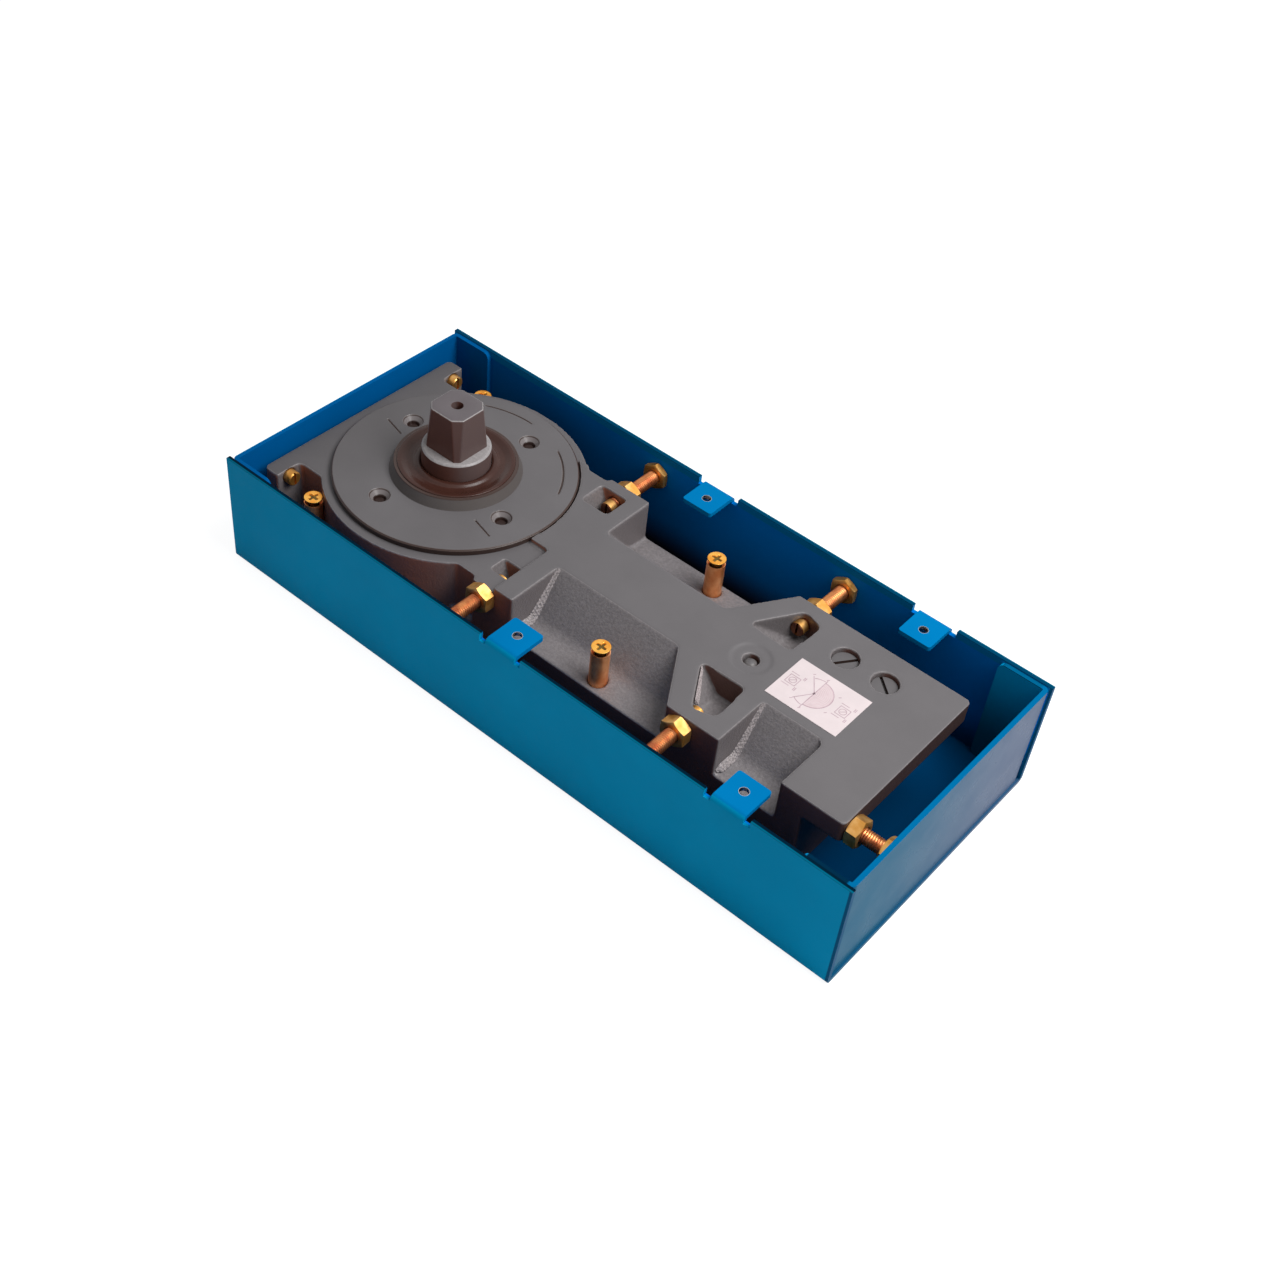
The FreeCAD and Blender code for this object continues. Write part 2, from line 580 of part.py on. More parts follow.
def make_head_cover():
    """Round threaded cover with a seal boss, spanner holes, arc grooves and index lines."""
    cover = fused([
        post(COVER_RADIUS, DECK_TOP, BODY_TOP),
        post(COVER_THREAD_RADIUS, COVER_BOTTOM, DECK_TOP),
        cone(BOSS_BASE_RADIUS, BOSS_TOP_RADIUS, BODY_TOP, BOSS_TOP),
    ])
    top_edges = [e for e in cover.Edges if abs(e.Length - 2 * math.pi * COVER_RADIUS) < 0.01
                 and abs(e.BoundBox.ZMin - BODY_TOP) < 0.01]
    cover = cover.makeChamfer(GROOVE_WIDTH / 2, top_edges)
    cuts = [
        post(SEAL_RADIUS, SEAL_BOTTOM, BOSS_TOP + BEYOND),
        post(SHAFT_RADIUS + SLIDE_GAP, COVER_BOTTOM - BEYOND, BODY_TOP),
        post(BEARING_RADIUS, BEARING_Z, BEARING_Z + BEARING_LENGTH),
    ]
    for i in range(4):
        turn = math.radians(SPANNER_ANGLE + 90 * i)
        x = SPANNER_CIRCLE * math.cos(turn)
        y = SPANNER_CIRCLE * math.sin(turn)
        sink_bottom = BODY_TOP - SPANNER_DEPTH / 2
        cuts.append(cone(SPANNER_HOLE_RADIUS, SPANNER_SINK_RADIUS, sink_bottom, BODY_TOP, x, y))
        cuts.append(post(SPANNER_HOLE_RADIUS, BODY_TOP - SPANNER_DEPTH, BODY_TOP, x, y))
    for x, y in INDEX_LINES:
        line = block(0, INDEX_LINE_LENGTH, 0, GROOVE_WIDTH, BODY_TOP - GROOVE_DEPTH, BODY_TOP + BEYOND)
        line.rotate(FreeCAD.Vector(0, 0, 0), FreeCAD.Vector(0, 0, 1), SPANNER_ANGLE)
        line.translate(FreeCAD.Vector(x, y, 0))
        cuts.append(line)
    for start, end in GROOVE_ARCS:
        sector = Part.makeCylinder(GROOVE_RADIUS + GROOVE_WIDTH, GROOVE_DEPTH + BEYOND,
                                   FreeCAD.Vector(0, 0, BODY_TOP - GROOVE_DEPTH),
                                   FreeCAD.Vector(0, 0, 1), end - start)
        sector.rotate(FreeCAD.Vector(0, 0, 0), FreeCAD.Vector(0, 0, 1), start)
        cuts.append(sector.cut(post(GROOVE_RADIUS, 0, BOX_HEIGHT)))
    cuts.append(cover_ring_groove())
    for cut in cuts:
        cover = cover.cut(cut)
    return cover.removeSplitter()


def cover_ring_groove():
    outer = post(COVER_THREAD_RADIUS + BEYOND, DECK_TOP - 3 * RING_SECTION, DECK_TOP - RING_SECTION)
    return outer.cut(post(COVER_THREAD_RADIUS - 2 * RING_SECTION, 0, BOX_HEIGHT))


def seal_ring(radius, start, end):
    """Ring of square section that fills the groove cut for it, but for a small gap."""
    a = FreeCAD.Vector(*start)
    along = (FreeCAD.Vector(*end) - a).normalize() * RUNNING_GAP
    a += along
    b = FreeCAD.Vector(*end) - along
    return bar(radius - RUNNING_GAP, a, b).cut(bar(radius - 2 * RING_SECTION, a, b))


def make_cover_ring():
    bottom = DECK_TOP - 3 * RING_SECTION
    return seal_ring(COVER_THREAD_RADIUS, (0, 0, bottom), (0, 0, bottom + 2 * RING_SECTION))


def make_spindle_seal():
    """Lip seal: a shallow dished ring on the cover's boss, with a small raised lip at the spindle."""
    inner = COLLAR_RADIUS + SEAL_LIP_GAP
    top = BOSS_TOP + SEAL_STAND
    middle = (inner + SEAL_RADIUS) / 2
    outline = [
        (inner, SEAL_BOTTOM), (SEAL_RADIUS, SEAL_BOTTOM), (SEAL_RADIUS, top), (SEAL_RADIUS - SHEET, top),
        (middle, top - 2 * SEAL_STAND), (inner + SHEET, top - SEAL_STAND), (inner, top),
        (inner, SEAL_BOTTOM),
    ]
    wire = Part.makePolygon([FreeCAD.Vector(r, 0, z) for r, z in outline])
    return Part.Face(wire).revolve(FreeCAD.Vector(0, 0, 0), FreeCAD.Vector(0, 0, 1), 360)


def taper_outline(half, flat, z):
    """Square with four cut corners; flat is the distance from the axis to a cut corner."""
    short = flat * math.sqrt(2) - half
    corners = [(half, -short), (half, short), (short, half), (-short, half),
               (-half, short), (-half, -short), (-short, -half), (short, -half), (half, -short)]
    return Part.makePolygon([FreeCAD.Vector(x, y, z) for x, y in corners])


def make_spindle():
    """Spindle: tapered square end, collar, shaft with a keyway for the cam, and a lower journal."""
    taper = Part.makeLoft([
        taper_outline(TAPER_BASE_HALF, TAPER_BASE_FLAT, COLLAR_TOP),
        taper_outline(TAPER_TOP_HALF, TAPER_TOP_FLAT, SPINDLE_TOP),
    ], True, True)
    collar_edge = COLLAR_TOP - COLLAR_CHAMFER
    spindle = fused([
        post(JOURNAL_RADIUS, SPINDLE_BOTTOM, CHAMBER_FLOOR),
        post(SHAFT_RADIUS, CHAMBER_FLOOR, COLLAR_BOTTOM),
        post(COLLAR_RADIUS, COLLAR_BOTTOM, collar_edge),
        cone(COLLAR_RADIUS, COLLAR_RADIUS - COLLAR_CHAMFER, collar_edge, COLLAR_TOP),
        taper,
    ])
    thread = post(SPINDLE_THREAD_RADIUS, SPINDLE_TOP - SPINDLE_THREAD_DEPTH, SPINDLE_TOP + BEYOND)
    return spindle.cut(thread).cut(key_block(0))


def key_block(gap):
    """Key between spindle and cam, on the side away from the cam's notch."""
    z = CAM_Z + (CAM_THICKNESS - KEY_LENGTH) / 2
    return block(SHAFT_RADIUS - KEY_DEPTH, SHAFT_RADIUS + KEY_DEPTH - gap, -KEY_WIDTH / 2, KEY_WIDTH / 2,
                 z, z + KEY_LENGTH)


def pitch_radius(turn):
    """Distance of the main roller's centre from the spindle axis at this turn of the cam."""
    return CAM_REST_PITCH + CAM_RISE_PER_RADIAN * turn


def cam_point(turn):
    """Point of the cam's flank: the pitch spiral moved in by the roller's radius along its normal."""
    pitch = pitch_radius(turn)
    offset = (ROLLER_RADIUS + ROLLER_GAP) / math.hypot(pitch, CAM_RISE_PER_RADIAN)
    across = CAM_RISE_PER_RADIAN * math.sin(turn) + pitch * math.cos(turn)
    along = pitch * math.sin(turn) - CAM_RISE_PER_RADIAN * math.cos(turn)
    return pitch * math.cos(turn) - offset * across, pitch * math.sin(turn) - offset * along


def cam_tip_turn():
    """Angle at which the flank reaches the cam's line of symmetry, found by halving."""
    low = math.pi / 2
    high = math.pi
    for _ in range(40):
        middle = (low + high) / 2
        if cam_point(middle)[1] > 0:
            low = middle
        else:
            high = middle
    return low


def make_heart_cam():
    """Heart cam: two equal spiral flanks, with a round notch where the main roller rests."""
    last = cam_tip_turn()
    flanks = []
    for sign in (1, -1):
        points = []
        for i in range(CAM_PROFILE_SPANS + 1):
            reach, side = cam_point(last * i / CAM_PROFILE_SPANS)
            points.append(FreeCAD.Vector(-reach, sign * side, CAM_Z))
        points[-1].y = 0
        curve = Part.BSplineCurve()
        curve.interpolate(points)
        flanks.append((curve.toShape(), points[0]))
    bottom_of_notch = FreeCAD.Vector(-CAM_REST_PITCH + ROLLER_RADIUS + ROLLER_GAP, 0, CAM_Z)
    notch = Part.Arc(flanks[0][1], bottom_of_notch, flanks[1][1]).toShape()
    wire = Part.Wire(Part.__sortEdges__([flanks[0][0], flanks[1][0], notch]))
    cam = Part.Face(wire).extrude(FreeCAD.Vector(0, 0, CAM_THICKNESS))
    return cam.cut(post(SHAFT_RADIUS, 0, BOX_HEIGHT)).cut(key_block(0))


def make_slide_plate(bottom):
    """Plate beside the cam that ties both rollers to the rod block, slotted round the spindle."""
    nose = CAM_REST_PITCH + ROLLER_RADIUS
    shoulder = PLATE_SLIDE_HALF_WIDTH - PLATE_NOSE_HALF_WIDTH
    plate = plan_prism([
        (-nose, -PLATE_NOSE_HALF_WIDTH, SMALL_RADIUS), (-nose + shoulder, -PLATE_SLIDE_HALF_WIDTH, SMALL_RADIUS),
        (CARRIAGE_END_X, -PLATE_SLIDE_HALF_WIDTH, SMALL_RADIUS),
        (CARRIAGE_END_X, PLATE_SLIDE_HALF_WIDTH, SMALL_RADIUS),
        (-nose + shoulder, PLATE_SLIDE_HALF_WIDTH, SMALL_RADIUS), (-nose, PLATE_NOSE_HALF_WIDTH, SMALL_RADIUS),
    ], bottom, bottom + PLATE_THICKNESS)
    room = SHAFT_RADIUS + SLIDE_GAP
    slot = fused([
        post(room, 0, BOX_HEIGHT), post(room, 0, BOX_HEIGHT, STROKE),
        block(0, STROKE, -room, room, 0, BOX_HEIGHT),
    ])
    for x in roller_places().values():
        plate = plate.cut(post(ROLLER_PIN_RADIUS, 0, BOX_HEIGHT, x))
    return plate.cut(slot)


def roller_places():
    return {"main": -CAM_REST_PITCH, "return": RETURN_ROLLER_X}


def make_roller(x):
    gap = SLIDE_GAP
    roller = post(ROLLER_RADIUS, CAM_Z, CAM_Z + CAM_THICKNESS, x)
    edges = [e for e in roller.Edges if e.Closed]
    roller = roller.makeChamfer(gap, edges)
    return roller.cut(post(ROLLER_PIN_RADIUS + RUNNING_GAP, 0, BOX_HEIGHT, x))


def make_roller_pin(x):
    return post(ROLLER_PIN_RADIUS, LOWER_PLATE_Z, CARRIAGE_TOP, x)


def make_rod_block():
    """Block between the slide plates that the pull rod is screwed into, with two dowels."""
    low = LOWER_PLATE_Z + PLATE_THICKNESS
    piece = block(BLOCK_X, CARRIAGE_END_X, -BLOCK_HALF_WIDTH, BLOCK_HALF_WIDTH, low, UPPER_PLATE_Z)
    return piece.cut(bar(ROD_RADIUS, (BLOCK_X + SMALL_RADIUS, 0, ROD_Z), (CARRIAGE_END_X + BEYOND, 0, ROD_Z)))


def make_pull_rod():
    """Rod from the block through the shoulder and the spring to the piston, necked for the piston."""
    return fused([
        bar(ROD_RADIUS, (BLOCK_X + SMALL_RADIUS, 0, ROD_Z), (PISTON_X, 0, ROD_Z)),
        bar(ROD_RADIUS - BEYOND, (PISTON_X, 0, ROD_Z), (PISTON_END_X + ROD_NUT_LENGTH + BEYOND, 0, ROD_Z)),
    ])


def make_rod_bush():
    outer = bar(ROD_RADIUS + BUSH_WALL, (SHOULDER_X, 0, ROD_Z), (SEAT_X, 0, ROD_Z))
    return outer.cut(bar(ROD_RADIUS + RUNNING_GAP, (SHOULDER_X, 0, ROD_Z), (SEAT_X, 0, ROD_Z)))


def make_spring_seat():
    outer = bar(BORE_RADIUS, (SEAT_X, 0, ROD_Z), (SEAT_X + SPRING_SEAT, 0, ROD_Z))
    return outer.cut(bar(ROD_RADIUS + SLIDE_GAP, (SEAT_X, 0, ROD_Z), (SEAT_X + SPRING_SEAT, 0, ROD_Z)))


def make_main_spring():
    """Square-wire compression spring along X with both ends ground flat."""
    height = SPRING_LENGTH - SPRING_WIRE_HEIGHT / 2
    helix = Part.makeHelix(height / SPRING_TURNS, height, SPRING_OUTER_RADIUS)
    inner = SPRING_OUTER_RADIUS - SPRING_WIRE_WIDTH
    half = SPRING_WIRE_HEIGHT / 2
    corners = [(inner, -half), (SPRING_OUTER_RADIUS, -half), (SPRING_OUTER_RADIUS, half), (inner, half),
               (inner, -half)]
    section = Part.makePolygon([FreeCAD.Vector(r, 0, z) for r, z in corners])
    coil = Part.Wire(helix.Edges).makePipeShell([section], True, True)
    coil.rotate(FreeCAD.Vector(0, 0, 0), FreeCAD.Vector(0, 1, 0), 90)
    coil.translate(FreeCAD.Vector(SPRING_X + half / 2, 0, ROD_Z))
    room = bar(BORE_RADIUS, (SPRING_X, 0, ROD_Z), (SPRING_X + SPRING_LENGTH, 0, ROD_Z))
    return coil.common(room)


def piston_ring_x():
    return PISTON_X + (PISTON_LENGTH - PISTON_RING_WIDTH) / 2


def make_piston():
    """Damping piston with a ring groove, a rod bore and a stepped check-valve passage."""
    radius = BORE_RADIUS - RUNNING_GAP
    ring_x = piston_ring_x()
    piston = bar(radius, (PISTON_X, 0, ROD_Z), (PISTON_END_X, 0, ROD_Z))
    groove = bar(BORE_RADIUS, (ring_x, 0, ROD_Z), (ring_x + PISTON_RING_WIDTH, 0, ROD_Z))
    groove = groove.cut(bar(BORE_RADIUS - PISTON_RING_DEPTH, (PISTON_X, 0, ROD_Z), (PISTON_END_X, 0, ROD_Z)))
    passage_z = ROD_Z + ball_offset()
    seat_x = PISTON_X + PISTON_LENGTH / 2
    cuts = [
        groove,
        bar(ROD_RADIUS - BEYOND, (PISTON_X, 0, ROD_Z), (PISTON_END_X, 0, ROD_Z)),
        bar(BALL_RADIUS / 2, (PISTON_X, 0, passage_z), (PISTON_END_X, 0, passage_z)),
        bar(BALL_RADIUS + RUNNING_GAP, (seat_x, 0, passage_z), (PISTON_END_X, 0, passage_z)),
    ]
    for cut in cuts:
        piston = piston.cut(cut)
    return piston


def ball_offset():
    """Distance of the check valve from the rod's axis: midway between rod and ring groove."""
    return (ROD_RADIUS - BEYOND + BORE_RADIUS - PISTON_RING_DEPTH) / 2


def make_piston_ring():
    x = piston_ring_x()
    outer = bar(BORE_RADIUS - RUNNING_GAP / 2, (x, 0, ROD_Z), (x + PISTON_RING_WIDTH, 0, ROD_Z))
    return outer.cut(bar(BORE_RADIUS - PISTON_RING_DEPTH, (x, 0, ROD_Z), (x + PISTON_RING_WIDTH, 0, ROD_Z)))


def make_check_ball():
    x = PISTON_X + PISTON_LENGTH / 2 + BALL_RADIUS + RUNNING_GAP
    return Part.makeSphere(BALL_RADIUS, FreeCAD.Vector(x, 0, ROD_Z + ball_offset()))


def make_rod_nut():
    start = (PISTON_END_X, 0, ROD_Z)
    end = (PISTON_END_X + ROD_NUT_LENGTH, 0, ROD_Z)
    return hexagon(3 * (ROD_RADIUS - BEYOND), start, end).cut(bar(ROD_RADIUS - BEYOND, start, end))


def make_end_plug():
    """Screwed plug that closes the cylinder, with a ring groove and a hexagon socket."""
    plug = bar(BORE_RADIUS, (PLUG_X, 0, ROD_Z), (BODY_END_X, 0, ROD_Z))
    groove_x = PLUG_X + RING_SECTION
    groove = bar(BORE_RADIUS, (groove_x, 0, ROD_Z), (groove_x + 2 * RING_SECTION, 0, ROD_Z))
    groove = groove.cut(bar(BORE_RADIUS - 2 * RING_SECTION, (PLUG_X, 0, ROD_Z), (BODY_END_X, 0, ROD_Z)))
    socket = hexagon(PLUG_SOCKET, (BODY_END_X - PLUG_THREAD_LENGTH / 2, 0, ROD_Z),
                     (BODY_END_X + BEYOND, 0, ROD_Z))
    return plug.cut(groove).cut(socket)


def make_end_plug_ring():
    return seal_ring(BORE_RADIUS, (PLUG_X + RING_SECTION, 0, ROD_Z), (PLUG_X + 3 * RING_SECTION, 0, ROD_Z))


def make_upper_bearing():
    """Needle bearing in the cover: a shell and its loose needles."""
    shell = post(BEARING_RADIUS, BEARING_Z, BEARING_Z + BEARING_LENGTH)
    shell = shell.cut(post(BEARING_RADIUS - BEARING_SHELL, BEARING_Z, BEARING_Z + BEARING_LENGTH))
    solids = [shell]
    circle = SHAFT_RADIUS + THREAD_GAP + NEEDLE_RADIUS
    for i in range(NEEDLE_COUNT):
        turn = 2 * math.pi * i / NEEDLE_COUNT
        solids.append(post(NEEDLE_RADIUS, BEARING_Z + SLIDE_GAP, BEARING_Z + BEARING_LENGTH - SLIDE_GAP,
                           circle * math.cos(turn), circle * math.sin(turn)))
    return Part.makeCompound(solids)


def make_thrust_bearing():
    """Thrust bearing under the spindle: the housing washer and its rollers."""
    washer = post(THRUST_RADIUS, THRUST_FLOOR, THRUST_FLOOR + THRUST_PLATE)
    solids = [washer]
    roller_z = THRUST_FLOOR + THRUST_PLATE + THRUST_ROLLER_RADIUS
    inner = JOURNAL_RADIUS + SLIDE_GAP
    outer = THRUST_RADIUS - SLIDE_GAP
    for i in range(THRUST_ROLLER_COUNT):
        turn = 2 * math.pi * i / THRUST_ROLLER_COUNT
        x = math.cos(turn)
        y = math.sin(turn)
        solids.append(bar(THRUST_ROLLER_RADIUS - RUNNING_GAP, (inner * x, inner * y, roller_z),
                          (outer * x, outer * y, roller_z)))
    return Part.makeCompound(solids)


def make_thrust_washer():
    """Shaft washer of the thrust bearing, pressed on the journal."""
    bottom = THRUST_FLOOR + THRUST_PLATE + 2 * THRUST_ROLLER_RADIUS
    washer = post(THRUST_RADIUS - SLIDE_GAP, bottom, CHAMBER_FLOOR)
    return washer.cut(post(JOURNAL_RADIUS, bottom, CHAMBER_FLOOR))


def make_valve(x, slot_angle):
    """Speed valve: slotted head below the surface, ring groove and a needle over its passage."""
    head_top = BODY_TOP - VALVE_RECESS
    head_bottom = head_top - VALVE_HEAD_HEIGHT
    tip_z = PASSAGE_Z + PASSAGE_RADIUS + SLIDE_GAP
    groove_z = head_bottom - 3 * RING_SECTION
    valve = fused([
        post(VALVE_RADIUS, head_bottom + SLIDE_GAP, head_top, x, VALVE_Y),
        post(VALVE_STEM_RADIUS, tip_z + VALVE_STEM_RADIUS, head_bottom + SLIDE_GAP, x, VALVE_Y),
        cone(PASSAGE_RADIUS / 2, VALVE_STEM_RADIUS, tip_z, tip_z + VALVE_STEM_RADIUS, x, VALVE_Y),
    ])
    groove = post(VALVE_RADIUS, groove_z, groove_z + 2 * RING_SECTION, x, VALVE_Y)
    groove = groove.cut(post(VALVE_STEM_RADIUS - RING_SECTION, 0, BODY_TOP, x, VALVE_Y))
    slot = block(-VALVE_RADIUS, VALVE_RADIUS, -VALVE_SLOT_WIDTH / 2, VALVE_SLOT_WIDTH / 2,
                 head_top - VALVE_SLOT_DEPTH, head_top + BEYOND)
    slot.rotate(FreeCAD.Vector(0, 0, 0), FreeCAD.Vector(0, 0, 1), slot_angle)
    slot.translate(FreeCAD.Vector(x, VALVE_Y, 0))
    return valve.cut(groove).cut(slot)


def make_valve_ring(x):
    """Soft ring in the valve's groove, a square section that closes the stem's bore."""
    head_bottom = BODY_TOP - VALVE_RECESS - VALVE_HEAD_HEIGHT
    bottom = head_bottom - 3 * RING_SECTION + RUNNING_GAP
    ring = post(VALVE_STEM_RADIUS, bottom, bottom + 2 * (RING_SECTION - RUNNING_GAP), x, VALVE_Y)
    return ring.cut(post(VALVE_STEM_RADIUS - RING_SECTION, 0, BODY_TOP, x, VALVE_Y))


def make_filler_plug():
    """Round-topped plug in the filling hole."""
    top = BODY_TOP - FILLER_RECESS
    plug = post(FILLER_RADIUS, top - FILLER_LENGTH, top - FILLER_RADIUS, FILLER_X)
    dome = Part.makeSphere(FILLER_RADIUS, FreeCAD.Vector(FILLER_X, 0, top - FILLER_RADIUS))
    return fused([plug, dome])


def make_label():
    return block(LABEL_X[0], LABEL_X[1], LABEL_Y[0], LABEL_Y[1], BODY_TOP, BODY_TOP + LABEL_THICKNESS)


def make_set_screw(tip, end):
    """Threaded rod between two points with a screwdriver slot across its tip."""
    screw = bar(SCREW_RADIUS, tip, end)
    a = FreeCAD.Vector(*tip)
    axis = (FreeCAD.Vector(*end) - a).normalize()
    end = a + axis * SLOT_DEPTH
    low = FreeCAD.Vector(min(a.x, end.x), min(a.y, end.y), a.z - SCREW_RADIUS)
    high = FreeCAD.Vector(max(a.x, end.x), max(a.y, end.y), a.z + SCREW_RADIUS)
    spread = FreeCAD.Vector(abs(axis.y), abs(axis.x), 0) * (SLOT_WIDTH / 2)
    slot = block(low.x - spread.x, high.x + spread.x, low.y - spread.y, high.y + spread.y, low.z, high.z)
    return screw.cut(slot)


def make_adjusting_screw(tip, inner_head, outer_head):
    """Set screw with a hexagon head that bears on a wall."""
    return make_set_screw(tip, inner_head).fuse(hexagon(HEXAGON_AF, inner_head, outer_head))


def make_side_screw(x, sign):
    head = BOX_INNER_Y - WALL_GAP
    return make_adjusting_screw((x, sign * SIDE_TIP_Y, SCREW_Z),
                                (x, sign * (head - SCREW_HEAD_LENGTH), SCREW_Z), (x, sign * head, SCREW_Z))


def make_end_screw(sign):
    """Headless screw in the plate, backed off from the wall until it lies within the plate's end."""
    y = sign * END_SCREW_Y
    return make_set_screw((END_TIP_X, y, SCREW_Z), (-PLATE_REACH + WALL_GAP, y, SCREW_Z))


def make_right_screw():
    head = RIGHT_WALL_INNER - WALL_GAP
    return make_adjusting_screw((RIGHT_TIP_X, RIGHT_SCREW_Y, SCREW_Z),
                                (head - SCREW_HEAD_LENGTH, RIGHT_SCREW_Y, SCREW_Z),
                                (head, RIGHT_SCREW_Y, SCREW_Z))


def make_lock_nuts():
    """Hexagon lock nuts on the lugs and on the lip, one for each screw with room for it."""
    seats = []
    for sign in SIDES.values():
        for x in SIDE_SCREW_X:
            seats.append(((x, sign * TRUNK_HALF_WIDTH, SCREW_Z),
                          (x, sign * (TRUNK_HALF_WIDTH + SIDE_NUT_LENGTH), SCREW_Z)))
    seats.append(((LIP_END_X, RIGHT_SCREW_Y, SCREW_Z), (LIP_END_X + SIDE_NUT_LENGTH, RIGHT_SCREW_Y, SCREW_Z)))
    nuts = []
    for start, end in seats:
        nut = hexagon(HEXAGON_AF, start, end)
        nuts.append(nut.cut(bar(SCREW_RADIUS + THREAD_GAP, start, end)))
    return Part.makeCompound(nuts)


def make_height_sleeve(x, y, clamp_top):
    """Threaded sleeve that carries the closer on the box floor, slotted and sunk at its top."""
    top = clamp_top - CLAMP_HEAD_HEIGHT - WALL_GAP
    sleeve = post(SLEEVE_RADIUS, SHEET + WALL_GAP, top, x, y)
    slot = block(x - SLEEVE_RADIUS, x + SLEEVE_RADIUS, y - SLOT_WIDTH / 2, y + SLOT_WIDTH / 2,
                 top - SLOT_DEPTH, top)
    sink = cone(SLEEVE_BORE, SLEEVE_BORE + SLEEVE_SINK, top - SLEEVE_SINK, top, x, y)
    return sleeve.cut(post(SLEEVE_BORE, 0, BOX_HEIGHT, x, y)).cut(slot).cut(sink)


def make_clamp_screw(x, y, top):
    """Countersunk cross-head screw that holds the closer down to the box floor."""
    screw = fused([
        cone(CLAMP_RADIUS, CLAMP_HEAD_RADIUS, top - CLAMP_HEAD_HEIGHT, top, x, y),
        post(CLAMP_RADIUS, SHEET / 4, top - CLAMP_HEAD_HEIGHT, x, y),
    ])
    arm = CROSS_LENGTH / 2
    thin = CROSS_WIDTH / 2
    cross = fused([
        block(x - arm, x + arm, y - thin, y + thin, top - CROSS_DEPTH, top),
        block(x - thin, x + thin, y - arm, y + arm, top - CROSS_DEPTH, top),
    ])
    return screw.cut(cross)


def clamp_tops():
    return {"corner": (CORNER_SLEEVE, CORNER_CLAMP_TOP), "middle": (MIDDLE_SLEEVE, MIDDLE_CLAMP_TOP)}


def make_parts():
    """Every sub-part by node name."""
    parts = {
        "cement_box": make_cement_box(),
        "left_end_wall": make_end_wall(BOX_LEFT + END_WALL_INSET, 1),
        "right_end_wall": make_end_wall(BOX_RIGHT - END_WALL_INSET, -1),
        "closer_body": make_closer_body(),
        "head_cover": make_head_cover(),
        "cover_ring": make_cover_ring(),
        "spindle_seal": make_spindle_seal(),
        "spindle": make_spindle(),
        "heart_cam": make_heart_cam(),
        "cam_key": key_block(RUNNING_GAP),
        "upper_needle_bearing": make_upper_bearing(),
        "thrust_bearing": make_thrust_bearing(),
        "thrust_shaft_washer": make_thrust_washer(),
        "lower_slide_plate": make_slide_plate(LOWER_PLATE_Z),
        "upper_slide_plate": make_slide_plate(UPPER_PLATE_Z),
        "rod_block": make_rod_block(),
        "pull_rod": make_pull_rod(),
        "rod_bush": make_rod_bush(),
        "spring_seat": make_spring_seat(),
        "main_spring": make_main_spring(),
        "piston": make_piston(),
        "piston_ring": make_piston_ring(),
        "check_valve_ball": make_check_ball(),
        "rod_nut": make_rod_nut(),
        "end_plug": make_end_plug(),
        "end_plug_ring": make_end_plug_ring(),
        "filler_plug": make_filler_plug(),
        "instruction_label": make_label(),
        "screw_lock_nuts": make_lock_nuts(),
        "end_screw_right": make_right_screw(),
    }
    for name, x in roller_places().items():
        parts[name + "_roller"] = make_roller(x)
        parts[name + "_roller_pin"] = make_roller_pin(x)
    for name, x, angle in zip(("sweep", "latch"), VALVE_X, VALVE_SLOT_ANGLES):
        parts[name + "_valve"] = make_valve(x, angle)
        parts[name + "_valve_ring"] = make_valve_ring(x)
    clamps = []
    for side, sign in SIDES.items():
        parts["end_screw_" + side] = make_end_screw(sign)
        for name, x in zip(("lug", "shoulder"), SIDE_SCREW_X):
            parts["side_screw_" + name + "_" + side] = make_side_screw(x, sign)
        for name, ((x, y), top) in clamp_tops().items():
            parts["height_sleeve_" + name + "_" + side] = make_height_sleeve(x, sign * y, top)
            clamps.append(make_clamp_screw(x, sign * y, top))
    parts["clamp_screws"] = Part.makeCompound(clamps)
    return parts


def write_parts():
    os.makedirs("parts", exist_ok=True)
    for name, shape in make_parts().items():
        if not shape.isValid():
            raise ValueError(name + " is not a valid shape")
        shape.exportStep("parts/" + name + ".step")
        print(name, len(shape.Solids), "solid(s)", round(shape.Volume / 1000, 2), "cm3")


write_parts()
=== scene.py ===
# %% [markdown]
# A floor spring is the closer that sits in the floor under a glass or fire door.
# A cast body holds a cam, a spring and oil, and its square spindle turns the door.
# Here the mechanism comes in as a fixed frame, and this lesson dresses it: cast iron
# with soft edges, painted sheet steel, yellow-plated screws and a rubber lip seal.

# %% Load the frame
import math
import bmesh
import bpy
import numpy as np
from mathutils import Matrix, Vector


